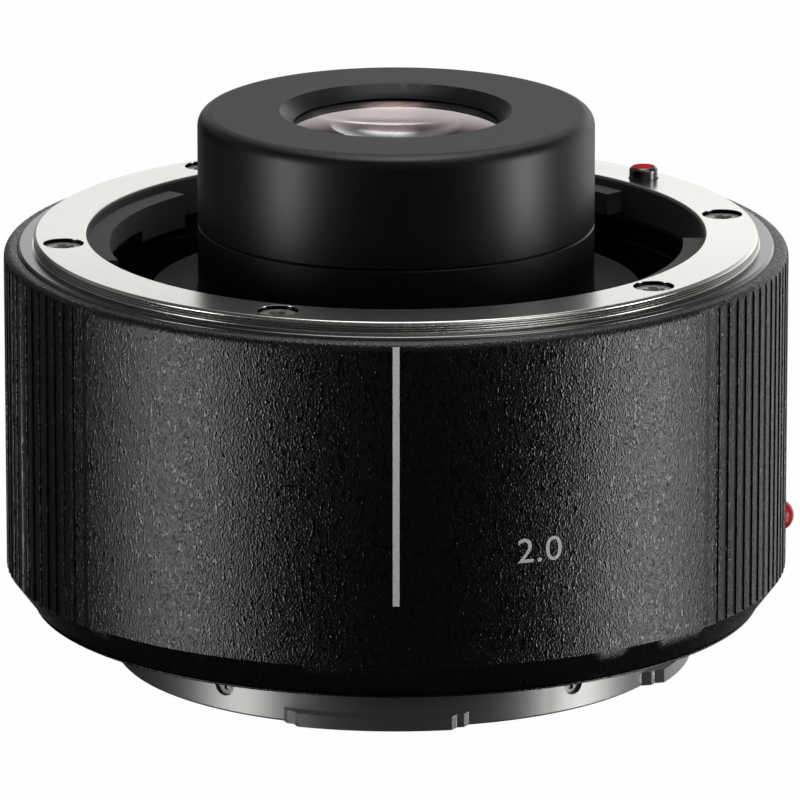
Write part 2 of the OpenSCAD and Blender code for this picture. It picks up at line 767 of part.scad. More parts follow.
module front_mount_screws() {
    color("#8d8d8b")
        for (a = ring_screw_az)
            at(a, ring_screw_r, flange_gap - head_sink) rotate([0, 0, a])
                screw(screw_d, head_d, head_h, ring_head_z - boss_hole_z - tip_gap);
}

// A flat ring with four fingers that reach under the lugs
module bayonet_spring() {
    ring_in = throat_r + 2 * fit;
    finger_in = throat_r - run - finger_w;
    color("#b9b9b4") difference() {
        union() {
            band(ring_in, rim_plate_r, rim_top_z, ring_z);
            for (i = [0 : 3]) {
                start = lug_starts[i] + stop_arc + finger_arc / 5;
                arc_band(finger_in, throat_r - run, rim_top_z, ring_z, start, finger_arc);
                arc_band(finger_in, ring_in + fit, rim_top_z, ring_z, start, finger_arc / 4);
            }
        }
        for (a = ring_screw_az)
            at(a, ring_screw_r, 0) post(screw_d + run, rim_top_z - cut, ring_z + cut);
        at(lock_az, lock_r, 0) post(lock_d + 2 * run, rim_top_z - cut, ring_z + cut);
    }
}

// One claw of the rear bayonet, with two small steps at each end
module claw(arc) {
    half = arc / 2;
    mid_r = bayonet_r + claw_reach / 2;
    ends = [[half, bayonet_r], [half - claw_end_arc, mid_r],
        [half - 2 * claw_end_arc, mid_r], [half - 3 * claw_end_arc, claw_r + fit]];
    out_r = claw_r + 2 * cut;
    root_r = bayonet_r - bayonet_wall / 3;
    translate([0, 0, claw_lift - bayonet_len]) intersection() {
        cylinder(r = claw_r, h = claw_t);
        linear_extrude(claw_t) polygon(concat(
            [polar(root_r, -half)],
            [for (e = ends) polar(e[1], -e[0])],
            [polar(out_r, -half / 2), polar(out_r, half / 2)],
            [for (i = [3 : -1 : 0]) polar(ends[i][1], ends[i][0])],
            [polar(root_r, half)]
        ));
    }
}

module rear_mount() {
    seat_r = bayonet_r + relief_w;
    barrel_bevel = 0.2;
    color("#a9a9a6") difference() {
        union() {
            rotate_extrude() polygon([
                [bayonet_bore_r, barrel_bevel - bayonet_len],
                [bayonet_bore_r + barrel_bevel, -bayonet_len],
                [bayonet_r - barrel_bevel, -bayonet_len],
                [bayonet_r, barrel_bevel - bayonet_len],
                [bayonet_r, relief_depth],
                [seat_r, relief_depth],
                [seat_r, 0],
                [rear_flange_r, 0],
                [rear_flange_r, rear_flange_t],
                [bayonet_bore_r, rear_flange_t]
            ]);
            for (i = [0 : 3])
                rotate([0, 0, claw_az + pair_az[i] + claw_key_arcs[i] / 2])
                    claw(claw_arc - claw_key_arcs[i]);
        }
        post(2 * bayonet_bore_r, -bayonet_len - cut, 0);
        for (a = rear_screw_az)
            at(a, rear_screw_r, 0) {
                post(screw_d + run, -cut, rear_flange_t + cut);
                post(rear_head_d + 2 * fit, -cut, head_h);
            }
        at(lock_az, lock_r, 0) post(lock_d + run, -cut, rear_flange_t + cut);
        for (a = baffle_screw_az)
            rotate([0, 0, a]) translate([0, 0, -baffle_screw_z]) {
                radial(small_screw_d + 2 * fit, bayonet_bore_r - cut, bayonet_r);
                radial(dimple_d, bayonet_r - dimple_depth, bayonet_r + cut);
            }
    }
}

module rear_mount_screws() {
    color("#77777a")
        for (a = rear_screw_az)
            at(a, rear_screw_r, fit) mirror([0, 0, 1]) rotate([0, 0, a])
                screw(screw_d, rear_head_d, head_h - fit, base_top_z - head_h - tip_gap);
}

// Rounded rectangle, extruded up from z
module window(w, h, r, z, depth) {
    translate([-w / 2 + r, -h / 2, z]) cube([w - 2 * r, h, depth]);
    translate([-w / 2, -h / 2 + r, z]) cube([w, h - 2 * r, depth]);
    for (x = [-1, 1], y = [-1, 1])
        translate([x * (w / 2 - r), y * (h / 2 - r), z]) cylinder(r = r, h = depth);
}

// The black mask in the rear barrel: a short skirt and a plate with a rectangular window
module rear_baffle() {
    color("#202022") difference() {
        rotate_extrude() polygon([
            [baffle_r - baffle_wall, -baffle_skirt],
            [baffle_r, -baffle_skirt],
            [baffle_r, baffle_plate_t],
            [0, baffle_plate_t],
            [0, 0],
            [baffle_r - baffle_wall, 0]
        ]);
        window(window_w, window_h, window_round, -cut, baffle_plate_t + 2 * cut);
        arc_band(
            rear_block_in_r - run, baffle_r + cut, -baffle_skirt - cut, 0,
            contact_az - block_half - block_gap_arc, 2 * (block_half + block_gap_arc)
        );
        rotate([0, 0, contact_az])
            translate([rear_flex_r - flex_t - run, -flex_w / 2 - run, -cut])
            cube([baffle_r, flex_w + 2 * run, baffle_plate_t + 2 * cut]);
        for (s = [-1, 1])
            at(contact_az + s * block_screw_az, contact_r, 0)
                post(small_screw_d + 2 * fit, -cut, baffle_plate_t + cut);
        for (a = baffle_screw_az)
            rotate([0, 0, a]) translate([0, 0, -baffle_screw_z])
                radial(small_screw_d + 2 * fit, baffle_r - baffle_wall - cut, baffle_r + cut);
    }
}

module baffle_screws() {
    head_in = bayonet_r - dimple_depth + fit;
    head_out = head_in + dimple_depth / 2;
    color("#5d5d60")
        for (a = baffle_screw_az)
            rotate([0, 0, a]) translate([0, 0, -baffle_screw_z]) difference() {
                union() {
                    radial(small_screw_d, baffle_r - baffle_wall, head_in);
                    radial(dimple_d - 2 * fit, head_in, head_out);
                }
                translate([head_out, 0, 0]) rotate([0, 90, 0])
                    cross_recess(dimple_d * recess_span, (head_out - head_in) * recess_deep);
            }
}

// The inner frame: sleeve, floor, trench and the rim that carries the front ring, on posts
module inner_frame() {
    color("#19191a") difference() {
        union() {
            rotate_extrude() polygon([
                [sleeve_in_r, sleeve_z],
                [sleeve_r, sleeve_z],
                [sleeve_r, plate_z],
                [trench_out_r, plate_z],
                [trench_out_r, rim_under_z],
                [rim_plate_r, rim_under_z],
                [rim_plate_r, rim_top_z],
                [throat_r, rim_top_z],
                [throat_r, ledge_z],
                [throat_r - ledge_w, ledge_z],
                [throat_r - ledge_w, trench_z],
                [floor_r, trench_z],
                [floor_r, floor_z],
                [sleeve_in_r, floor_z]
            ]);
            for (a = ring_screw_az) at(a, ring_screw_r, 0) post(post_d, boss_z, rim_under_z + fit);
            for (a = post_az) at(a, ring_screw_r, 0) post(post_d, base_top_z, rim_under_z + fit);
        }
        for (a = ring_screw_az)
            at(a, ring_screw_r, 0) post(screw_d + 2 * fit, boss_hole_z, rim_top_z + cut);
        for (a = post_az)
            at(a, ring_screw_r, 0)
                post(screw_d + 2 * fit, base_top_z - cut, base_top_z + thread_len + tip_gap);
        at(lock_az, lock_r, 0) post(lock_d + 2 * pin_fit, rim_under_z - cut, rim_top_z + cut);
        for (s = [-1, 1])
            rotate([0, 0, lock_az]) translate([lock_r, s * bracket_screw_y, 0])
                post(small_screw_d + 2 * fit, rim_under_z - cut, rim_top_z + cut);
        arc_band(
            block_in_r - fit, floor_r + cut, block_z, floor_z + cut,
            contact_az - block_half - block_gap_arc, 2 * (block_half + block_gap_arc)
        );
        for (s = [-1, 1])
            at(contact_az + s * block_screw_az, block_screw_r, 0)
                post(small_screw_d + 2 * fit, plate_z - cut, block_z + cut);
        rotate([0, 0, contact_az])
            translate([flex_r - run, -flex_w / 2 - run, plate_z - cut])
            cube([flex_t + 2 * run, flex_w + 2 * run, trench_t + 2 * cut]);
        for (a = tube_screw_az)
            at(a, tube_screw_r, 0)
                post(small_screw_d + 2 * fit, sleeve_z - cut, sleeve_z + small_thread_len + tip_gap);
    }
}

// The rear base: a ring that carries the posts, the circuit board and the rear mount
module rear_base() {
    color("#2c2c2e") difference() {
        union() {
            band(base_bore_r, base_r, base_seat_z, base_top_z);
            for (a = board_screw_az)
                at(a, board_mid_r, 0) post(post_d - 2 * run, base_top_z - fit, board_z);
        }
        for (a = rear_screw_az)
            at(a, rear_screw_r, 0) post(screw_d + 2 * fit, base_seat_z - cut, base_top_z + cut);
        for (a = post_az)
            at(a, ring_screw_r, 0) {
                post(screw_d + run, base_seat_z - cut, base_top_z + cut);
                post(head_d + 2 * fit, base_seat_z - cut, base_seat_z + head_h + fit);
            }
        for (a = board_screw_az)
            at(a, board_mid_r, 0) post(small_screw_d + 2 * fit, base_seat_z - cut, board_z + cut);
    }
}

module frame_screws() {
    color("#77777a")
        for (a = post_az)
            at(a, ring_screw_r, base_seat_z + fit) mirror([0, 0, 1])
                screw(screw_d, head_d, head_h, base_t - head_h + thread_len);
}

// The lens tube, with cells for the elements, a fixing flange and a pocket under the cap
module lens_tube() {
    spigot_z = seam_z - spigot_len;
    rear_bore = rear_convex_r + fit;
    meniscus_bore = rear_meniscus_r + fit;
    waist_r = front_glass_r - glass_lip;
    pocket_floor = triplet_seat_z;
    color("#161617") difference() {
        rotate_extrude() polygon([
            [meniscus_bore, tube_foot],
            [tube_r, tube_foot],
            [tube_r, tube_flange_z],
            [tube_flange_r, tube_flange_z],
            [tube_flange_r, sleeve_z],
            [tube_r, sleeve_z],
            [tube_r, seam_z - seam_bevel],
            [tube_r - seam_bevel, seam_z],
            [pocket_r, seam_z],
            [pocket_r, pocket_floor],
            [cell_r + fit + cell_wall, pocket_floor],
            [cell_r + fit + cell_wall, seam_z],
            [cell_r + fit, seam_z],
            [cell_r + fit, spigot_z],
            [cell_in_r, spigot_z],
            [cell_in_r, triplet_seat_z],
            [waist_r, triplet_seat_z],
            [waist_r, rear_seat_z + waist_cone_h],
            [rear_convex_r - glass_lip, rear_seat_z],
            [rear_bore, rear_seat_z],
            [rear_bore, rear_cell_z],
            [meniscus_bore, rear_cell_z]
        ]);
        for (a = tube_screw_az)
            at(a, tube_screw_r, 0)
                post(small_screw_d + 2 * fit, tube_flange_z - cut, sleeve_z + cut);
    }
}

module tube_screws() {
    color("#77777a")
        for (a = tube_screw_az)
            at(a, tube_screw_r, tube_flange_z - small_head_h) mirror([0, 0, 1])
                screw(small_screw_d, small_head_d, small_head_h, tube_flange_t + small_thread_len);
}

// The front cap: rounded hood, conical recess over the glass and a spigot in the tube
module front_cap() {
    lip_z = front_apex_z - sag(front_convex_out, cell_in_r) + fit;
    lip_edge_z = glass_rim_z + fit;
    color("#141415") rotate_extrude() polygon(concat(
        [
            [tube_r - seam_bevel, seam_z],
            [tube_r, seam_z + seam_bevel]
        ],
        quarter(tube_r, cap_z, cap_round),
        [
            [recess_d / 2, cap_z],
            [clear_r, lip_edge_z + 2 * fit],
            [clear_r, lip_edge_z],
            [cell_in_r, lip_z],
            [cell_in_r, seam_z - spigot_len + fit],
            [cell_r, seam_z - spigot_len + fit],
            [cell_r, cap_z - cap_roof],
            [pocket_r, cap_z - cap_roof],
            [pocket_r, seam_z]
        ]
    ));
}

// Lens forms: top and bottom are the heights of the two surfaces on the axis
module biconvex(r, top, ball_top, bottom, ball_bottom) {
    intersection() {
        post(2 * r, bottom - cut, top + cut);
        translate([0, 0, top - ball_top]) sphere(ball_top);
        translate([0, 0, bottom + ball_bottom]) sphere(ball_bottom);
    }
}

module biconcave(r, top, ball_top, bottom, ball_bottom) {
    difference() {
        post(2 * r, bottom - sag(ball_bottom, r), top + sag(ball_top, r));
        translate([0, 0, top + ball_top]) sphere(ball_top);
        translate([0, 0, bottom - ball_bottom]) sphere(ball_bottom);
    }
}

module meniscus(r, top, ball_top, bottom, ball_bottom) {
    difference() {
        intersection() {
            post(2 * r, bottom - cut, top + sag(ball_top, r));
            translate([0, 0, bottom + ball_bottom]) sphere(ball_bottom);
        }
        translate([0, 0, top + ball_top]) sphere(ball_top);
    }
}

module front_convex_lens() {
    color("#c9b8d4")
        biconvex(front_glass_r, front_apex_z, front_convex_out, front_convex_z, front_cement);
}

module front_meniscus_lens() {
    color("#cfd6dc") meniscus(
        front_glass_r, front_meniscus_top, front_cement, front_meniscus_z, front_meniscus_out
    );
}

module front_spacer() {
    color("#161617")
        band(front_glass_r - glass_lip, front_glass_r, front_spacer_z, front_spacer_top);
}

module triplet_front_lens() {
    color("#cfd6dc") biconcave(
        front_glass_r, triplet_front_top, triplet_front_out, triplet_front_z, triplet_cement_front
    );
}

module triplet_core_lens() {
    color("#cfd6dc") biconvex(
        front_glass_r, triplet_core_top, triplet_cement_front, triplet_core_z, triplet_cement_rear
    );
}

module triplet_rear_lens() {
    color("#cfd6dc") biconcave(
        front_glass_r, triplet_rear_top, triplet_cement_rear, triplet_rear_z, triplet_rear_out
    );
}

module rear_convex_lens() {
    color("#cfd6dc")
        biconvex(rear_convex_r, rear_convex_top, rear_convex_front, rear_convex_z, rear_convex_back);
}

module rear_spacer() {
    color("#161617") band(rear_convex_r - glass_lip, rear_convex_r, rear_cell_z, rear_spacer_top);
}

module rear_meniscus_lens() {
    color("#b9d0c4") meniscus(
        rear_meniscus_r, rear_meniscus_top, rear_meniscus_front, rear_meniscus_z, rear_meniscus_back
    );
}

module rear_retaining_ring() {
    spanner_slot = 1.2;
    color("#161617") difference() {
        band(rear_meniscus_r - retainer_w, rear_meniscus_r, tube_foot + run, rear_ring_top);
        for (turn = [0, 90])
            rotate([0, 0, turn]) translate([-rear_meniscus_r, -spanner_slot / 2, tube_foot - cut])
                cube([2 * rear_meniscus_r, spanner_slot, run + spanner_depth + cut]);
    }
}

module circuit_board() {
    color("#1d5a34") difference() {
        arc_band(board_in_r, board_in_r + board_w, board_z, board_top, board_start, board_arc);
        for (a = board_screw_az)
            at(a, board_mid_r, 0) post(small_screw_d + 2 * fit, board_z - cut, board_top + cut);
    }
}

// Two chips and the connector that takes the front flat cable
module board_chips() {
    color("#111113") {
        for (a = chip_az)
            at(a, board_mid_r, board_top)
                translate([-chip_w / 2, -chip_w / 2, 0]) cube([chip_w, chip_w, chip_h]);
        rotate([0, 0, contact_az])
            translate([flex_r - run, -flex_w / 2 - run, board_top])
            cube([flex_t + 4 * run, flex_w + 2 * run, connector_h]);
    }
}

module board_screws() {
    color("#8d8d8b")
        for (a = board_screw_az)
            at(a, board_mid_r, board_top + small_head_h)
                screw(small_screw_d, small_head_d, small_head_h, board_t + standoff_h + base_t / 2);
}

module front_flex() {
    low = board_top + connector_h;
    color("#b5762a") rotate([0, 0, contact_az])
        translate([flex_r, -flex_w / 2, low]) cube([flex_t, flex_w, block_z - low]);
}

module rear_flex() {
    color("#b5762a") rotate([0, 0, contact_az])
        translate([rear_flex_r - flex_t, -flex_w / 2, 0]) cube([flex_t, flex_w, board_z]);
}

// The front contact block, with a stepped bore for each sprung pin
module front_contact_block() {
    color("#222224") difference() {
        arc_band(
            block_in_r, block_out_r, block_z, block_top, contact_az - block_half, 2 * block_half
        );
        for (i = [0 : contact_n - 1])
            at(contact_angle(i), contact_r, 0) {
                post(contact_d + 2 * pin_fit, collar_top_z - fit, block_top + cut);
                post(2 * chamber_r, collar_top_z - chamber_h, collar_top_z);
            }
        for (s = [-1, 1])
            at(contact_az + s * block_screw_az, block_screw_r, 0)
                post(small_screw_d + 2 * fit, block_z - cut, block_top + cut);
    }
}

module contact_block_screws() {
    color("#8d8d8b")
        for (s = [-1, 1])
            at(contact_az + s * block_screw_az, block_screw_r, block_top + small_head_h)
                screw(small_screw_d, small_head_d, small_head_h, block_top - plate_z - tip_gap);
}

// A sprung contact pin: rounded tip, shaft and the collar that keeps it in the block
module contact_pin(i) {
    tip = contact_d / 2;
    color("#d4a838") at(contact_angle(i), contact_r, 0) {
        translate([0, 0, contact_tip_z - tip]) sphere(tip);
        post(contact_d, collar_top_z - fit - collar_h, contact_tip_z - tip);
        post(collar_d, collar_top_z - fit - collar_h, collar_top_z - fit);
    }
}

module rear_contact_block() {
    color("#222224") difference() {
        arc_band(
            rear_block_in_r, rear_block_r, -rear_block_h, 0, contact_az - block_half, 2 * block_half
        );
        for (a = baffle_screw_az)
            rotate([0, 0, a]) translate([0, 0, -baffle_screw_z])
                radial(small_screw_d + 2 * fit, rear_block_r - baffle_wall - tip_gap, baffle_r + cut);
        for (i = [0 : contact_n - 1])
            at(contact_angle(i), contact_r, 0)
                post(pad_d + 2 * fit, -rear_block_h - cut, pad_depth - rear_block_h);
        for (s = [-1, 1])
            at(contact_az + s * block_screw_az, contact_r, 0) {
                post(small_screw_d + 2 * fit, -rear_block_h - cut, cut);
                post(small_head_d + 2 * fit, -rear_block_h - cut, small_head_h + fit - rear_block_h);
            }
    }
}

module rear_contact_pads() {
    color("#d4a838")
        for (i = [0 : contact_n - 1])
            at(contact_angle(i), contact_r, 0)
                post(pad_d, -rear_block_h - pad_out, pad_depth - rear_block_h);
}

module rear_contact_screws() {
    color("#8d8d8b")
        for (s = [-1, 1])
            at(contact_az + s * block_screw_az, contact_r, fit - rear_block_h) mirror([0, 0, 1])
                screw(
                    small_screw_d, small_head_d, small_head_h,
                    rear_block_h - small_head_h + baffle_plate_t - tip_gap
                );
}

// The lock pin: head through the mount ring, stem in the bracket, cross hole for the follower
module lock_pin() {
    bevel = 0.25;
    color("#d6d6d2") difference() {
        at(lock_az, lock_r, 0)
            rotate_extrude() polygon([
                [0, stem_z],
                [stem_d / 2, stem_z],
                [stem_d / 2, lock_shoulder_z],
                [lock_d / 2, lock_shoulder_z],
                [lock_d / 2, lock_top_z - bevel],
                [lock_d / 2 - bevel, lock_top_z],
                [0, lock_top_z]
            ]);
        at(lock_az, lock_r, 0) post(mark_d + 2 * fit, lock_top_z - mark_depth, lock_top_z + cut);
        rotate([0, 0, lock_az]) translate([0, 0, follower_z])
            radial(follower_d + fit, lock_r - lock_d, lock_r + lock_d);
    }
}

module lock_mark() {
    color("#d8232a")
        at(lock_az, lock_r, 0) post(mark_d, lock_top_z - mark_depth, lock_top_z);
}

module lock_follower() {
    color("#b9b9b4") rotate([0, 0, lock_az]) translate([0, 0, follower_z])
        radial(follower_d, lock_r - lock_d / 2 + run, cam_r - 2 * fit);
}

// The lock spring: one round wire on a helix round the stem
function coil_point(k, s) =
    let (
        turn = 360 * k / coil_rings,
        side = 360 * s / coil_sides,
        r = coil_r + wire_d / 2 * cos(side),
        z = coil_low + coil_pitch * k / coil_rings + wire_d / 2 * sin(side)
    )
    [r * cos(turn), r * sin(turn), z];

module lock_spring() {
    last = lock_turns * coil_rings;
    points = [for (k = [0 : last], s = [0 : coil_sides - 1]) coil_point(k, s)];
    sides = [
        for (k = [0 : last - 1], s = [0 : coil_sides - 1])
            let (a = k * coil_sides + s, b = k * coil_sides + (s + 1) % coil_sides)
            each [[a, a + coil_sides, b], [b, a + coil_sides, b + coil_sides]]
    ];
    ends = [
        for (s = [1 : coil_sides - 2])
            each [[0, s, s + 1], [last * coil_sides, last * coil_sides + s + 1, last * coil_sides + s]]
    ];
    color("#c4c4c0") at(lock_az, lock_r, 0) polyhedron(points, concat(sides, ends));
}

// The bracket under the frame's rim: two legs and a shelf with the stem's bore
module lock_bracket() {
    depth = bracket_out - bracket_in;
    color("#b9b9b4") rotate([0, 0, lock_az]) translate([lock_r, 0, 0]) difference() {
        union() {
            translate([bracket_in, -tab_half, rim_under_z - bracket_t])
                cube([depth, 2 * tab_half, bracket_t]);
            for (s = [0, 1])
                mirror([0, s, 0]) translate([bracket_in, bracket_half, shelf_z])
                    cube([depth, bracket_t, rim_under_z - shelf_z]);
            translate([bracket_in, -bracket_half - fit, shelf_z])
                cube([depth, 2 * bracket_half + 2 * fit, bracket_t]);
        }
        post(lock_d + 2 * run, rim_under_z - bracket_t - cut, rim_under_z + cut);
        post(stem_d + 2 * pin_fit, shelf_z - cut, shelf_top_z + cut);
        for (s = [-1, 1])
            translate([0, s * bracket_screw_y, 0])
                post(small_screw_d + 2 * fit, rim_under_z - bracket_t - cut, rim_under_z + cut);
    }
}

module bracket_screws() {
    color("#77777a")
        for (s = [-1, 1])
            rotate([0, 0, lock_az])
                translate([lock_r, s * bracket_screw_y, rim_under_z - bracket_t - small_head_h])
                mirror([0, 0, 1])
                screw(small_screw_d, small_head_d, small_head_h, bracket_t + rim_plate_t - 2 * fit);
}

// The release lever: a neck in the barrel's slot and a ribbed head outside
module release_button() {
    rim_arc = release_rim / barrel_r * 180 / PI;
    head_arc = release_arc + 2 * rim_arc;
    head_h_all = release_h + 2 * release_rim;
    out_r = barrel_r + release_out;
    color("#232325") difference() {
        union() {
            arc_band(
                release_neck_r, release_head_r + fit, release_z - release_h / 2, release_z + release_h / 2,
                release_az - release_arc / 2, release_arc
            );
            arc_band(
                release_head_r, out_r, release_z - head_h_all / 2, release_z + head_h_all / 2,
                release_az - head_arc / 2, head_arc
            );
        }
        for (i = [0 : rib_n - 1])
            at(release_az + (i - (rib_n - 1) / 2) * head_arc / (rib_n + 1), out_r, 0)
                post(rib_d, release_z - head_h_all, release_z + head_h_all);
        for (s = [-1, 1])
            rotate([0, 0, release_az + s * release_arc / 4]) translate([0, 0, release_z])
                radial(
                    small_screw_d + 2 * fit, release_neck_r - cut,
                    release_neck_r + release_thread + tip_gap
                );
    }
}

// The cam plate: an arc behind the barrel's wall, with the inclined slot that draws the pin in
module release_cam() {
    mid_az = lock_az - release_turn / 2;
    run_y = 2 * cam_r * sin(release_turn / 2);
    slope = atan(lock_travel / run_y);
    slot_len = sqrt(pow(run_y, 2) + pow(lock_travel, 2));
    color("#9a9a98") difference() {
        arc_band(cam_in_r, cam_r, cam_z, cam_top_z, cam_start, cam_end - cam_start);
        rotate([0, 0, mid_az]) translate([0, 0, follower_z - lock_travel / 2]) rotate([slope, 0, 0]) {
            translate([cam_in_r - cut, -slot_len / 2, -cam_slot_r])
                cube([cam_t + 2 * cut, slot_len, 2 * cam_slot_r]);
            for (s = [-1, 1])
                translate([0, s * slot_len / 2, 0]) radial(2 * cam_slot_r, cam_in_r - cut, cam_r + cut);
        }
        for (s = [-1, 1])
            rotate([0, 0, release_az + s * release_arc / 4]) translate([0, 0, release_z])
                radial(small_screw_d + 2 * fit, cam_in_r - cut, cam_r + cut);
    }
}

module release_screws() {
    color("#77777a")
        for (s = [-1, 1])
            rotate([0, 0, release_az + s * release_arc / 4])
                translate([cam_in_r - small_head_h / 2 - fit, 0, release_z]) rotate([0, -90, 0])
                screw(small_screw_d, small_head_d, small_head_h / 2, cam_t + fit + release_thread);
}

outer_barrel();
rear_ring();
index_bead();
front_mount();
front_mount_screws();
bayonet_spring();
rear_mount();
rear_mount_screws();
rear_baffle();
baffle_screws();
inner_frame();
rear_base();
frame_screws();
lens_tube();
tube_screws();
front_cap();
front_convex_lens();
front_meniscus_lens();
front_spacer();
triplet_front_lens();
triplet_core_lens();
triplet_rear_lens();
rear_convex_lens();
rear_spacer();
rear_meniscus_lens();
rear_retaining_ring();
circuit_board();
board_chips();
board_screws();
front_flex();
rear_flex();
front_contact_block();
contact_block_screws();
rear_contact_block();
rear_contact_pads();
rear_contact_screws();
lock_pin();
lock_mark();
lock_follower();
lock_spring();
lock_bracket();
bracket_screws();
release_button();
release_cam();
release_screws();
for (i = [0 : contact_n - 1])
    contact_pin(i);
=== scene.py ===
import json
import math

import bpy
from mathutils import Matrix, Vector

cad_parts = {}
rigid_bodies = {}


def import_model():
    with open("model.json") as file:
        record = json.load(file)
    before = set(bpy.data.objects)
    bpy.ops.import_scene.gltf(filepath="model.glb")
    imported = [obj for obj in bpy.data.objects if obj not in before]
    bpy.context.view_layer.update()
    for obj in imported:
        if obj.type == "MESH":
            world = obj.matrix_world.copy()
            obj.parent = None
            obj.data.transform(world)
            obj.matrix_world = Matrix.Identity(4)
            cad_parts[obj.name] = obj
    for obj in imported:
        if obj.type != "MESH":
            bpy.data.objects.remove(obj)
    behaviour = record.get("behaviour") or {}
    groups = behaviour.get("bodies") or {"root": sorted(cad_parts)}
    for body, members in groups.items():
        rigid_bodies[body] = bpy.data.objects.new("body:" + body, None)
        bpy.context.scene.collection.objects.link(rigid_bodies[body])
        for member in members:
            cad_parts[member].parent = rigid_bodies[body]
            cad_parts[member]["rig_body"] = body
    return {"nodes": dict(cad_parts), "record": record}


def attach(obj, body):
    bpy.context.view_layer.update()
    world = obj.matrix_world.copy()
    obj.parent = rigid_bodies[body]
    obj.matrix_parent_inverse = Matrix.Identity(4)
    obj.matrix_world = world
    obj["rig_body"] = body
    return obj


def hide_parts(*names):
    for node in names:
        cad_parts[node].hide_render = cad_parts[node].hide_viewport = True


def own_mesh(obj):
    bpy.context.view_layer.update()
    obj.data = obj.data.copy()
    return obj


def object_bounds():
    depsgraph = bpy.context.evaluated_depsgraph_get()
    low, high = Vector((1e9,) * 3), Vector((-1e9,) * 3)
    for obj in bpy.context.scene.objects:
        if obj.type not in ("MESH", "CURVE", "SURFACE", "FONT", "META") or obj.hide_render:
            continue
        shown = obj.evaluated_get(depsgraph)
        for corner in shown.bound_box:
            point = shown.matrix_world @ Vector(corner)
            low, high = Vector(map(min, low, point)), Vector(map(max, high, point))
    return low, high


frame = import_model()
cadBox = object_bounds()
scene = bpy.context.scene
mm = 0.001  # settings are in millimetres and degrees, where no note says otherwise
bpy.ops.object.select_all(action="DESELECT")
print("frame: %d nodes" % len(frame["nodes"]))


def linear(hexText):  # sRGB hex to linear light
    parts = [int(hexText[i:i + 2], 16) / 255 for i in (1, 3, 5)]
    return [c / 12.92 if c <= 0.04045 else ((c + 0.055) / 1.055) ** 2.4 for c in parts] + [1.0]


def addNode(tree, kind, inputs=None, **settings):  # a node with its settings, values and links
    node = tree.nodes.new(kind)
    for key, value in settings.items():
        setattr(node, key, value)
    for key, value in (inputs or {}).items():
        if isinstance(value, bpy.types.NodeSocket):
            tree.links.new(value, node.inputs[key])
        else:
            node.inputs[key].default_value = value
    return node


def newFinish(name, inputs):  # a material with one shader, and the coordinates of its patterns
    material = bpy.data.materials.new(name)
    material.use_nodes = True
    tree = material.node_tree
    tree.nodes.clear()
    shader = addNode(tree, "ShaderNodeBsdfPrincipled", inputs)
    addNode(tree, "ShaderNodeOutputMaterial", {"Surface": shader.outputs["BSDF"]})
    coords = addNode(tree, "ShaderNodeTexCoord").outputs["Object"]
    return material, tree, shader, coords


def perMetre(size):  # how often a pattern of that size in millimetres repeats in a metre
    return 1000 / size


def axisRadius(tree, coords):  # distance from the optical axis
    parts = addNode(tree, "ShaderNodeSeparateXYZ", {"Vector": coords})
    flat = addNode(tree, "ShaderNodeCombineXYZ", {"X": parts.outputs["X"], "Y": parts.outputs["Y"]})
    radius = addNode(tree, "ShaderNodeVectorMath", {0: flat.outputs["Vector"]}, operation="LENGTH")
    return radius.outputs["Value"]


noiseSpan = (0.3, 0.7)  # where most values of a noise pattern lie

# Crackle enamel baked on aluminium: a fine pebbled skin with sparse raised strokes, which break light
# into specks; the skin is drawn a little coarser than life so that it shows
crackle = {
    "dark": "#020202", "pale": "#101010", "shadeFrom": (0.4, 0.75), "roughness": (0.14, 0.36),
    "specular": 0.5, "grain": 0.16, "stroke": 0.36, "stretch": (0.7, 0.42), "detail": 0.5, "softness": 0.6,
    "strokeFrom": (0.56, 0.7), "strokeShare": 0.2, "height": 0.064,
}


def crackleEnamel():
    look = crackle
    material, tree, shader, coords = newFinish("crackleEnamel", {"Specular IOR Level": look["specular"]})
    skin, strokes = [
        addNode(
            tree, "ShaderNodeTexNoise",
            {
                "Vector": addNode(
                    tree, "ShaderNodeMapping", {"Vector": coords, "Scale": (1, 1, stretch)},
                ).outputs["Vector"],
                "Scale": perMetre(size), "Detail": look["detail"], "Roughness": look["softness"],
            },
        ).outputs["Fac"]
        for size, stretch in zip((look["grain"], look["stroke"]), look["stretch"])
    ]
    raised = addNode(
        tree, "ShaderNodeMapRange",
        {"Value": strokes, "From Min": look["strokeFrom"][0], "From Max": look["strokeFrom"][1]},
        interpolation_type="SMOOTHSTEP",
    ).outputs["Result"]
    lumps = addNode(
        tree, "ShaderNodeMath", {0: raised, 1: look["strokeShare"], 2: skin}, operation="MULTIPLY_ADD",
    ).outputs["Value"]
    bump = addNode(tree, "ShaderNodeBump", {"Height": lumps, "Distance": look["height"] * mm})
    tree.links.new(bump.outputs["Normal"], shader.inputs["Normal"])
    rough = addNode(  # the strokes are the glossiest part
        tree, "ShaderNodeMapRange",
        {"Value": raised, "To Min": look["roughness"][1], "To Max": look["roughness"][0]},
    )
    tree.links.new(rough.outputs["Result"], shader.inputs["Roughness"])
    shade = addNode(tree, "ShaderNodeValToRGB", {"Fac": lumps})
    for end, place, tone in zip(shade.color_ramp.elements, look["shadeFrom"], ("dark", "pale")):
        end.position = place
        end.color = linear(look[tone])
    tree.links.new(shade.outputs["Color"], shader.inputs["Base Color"])
    return material


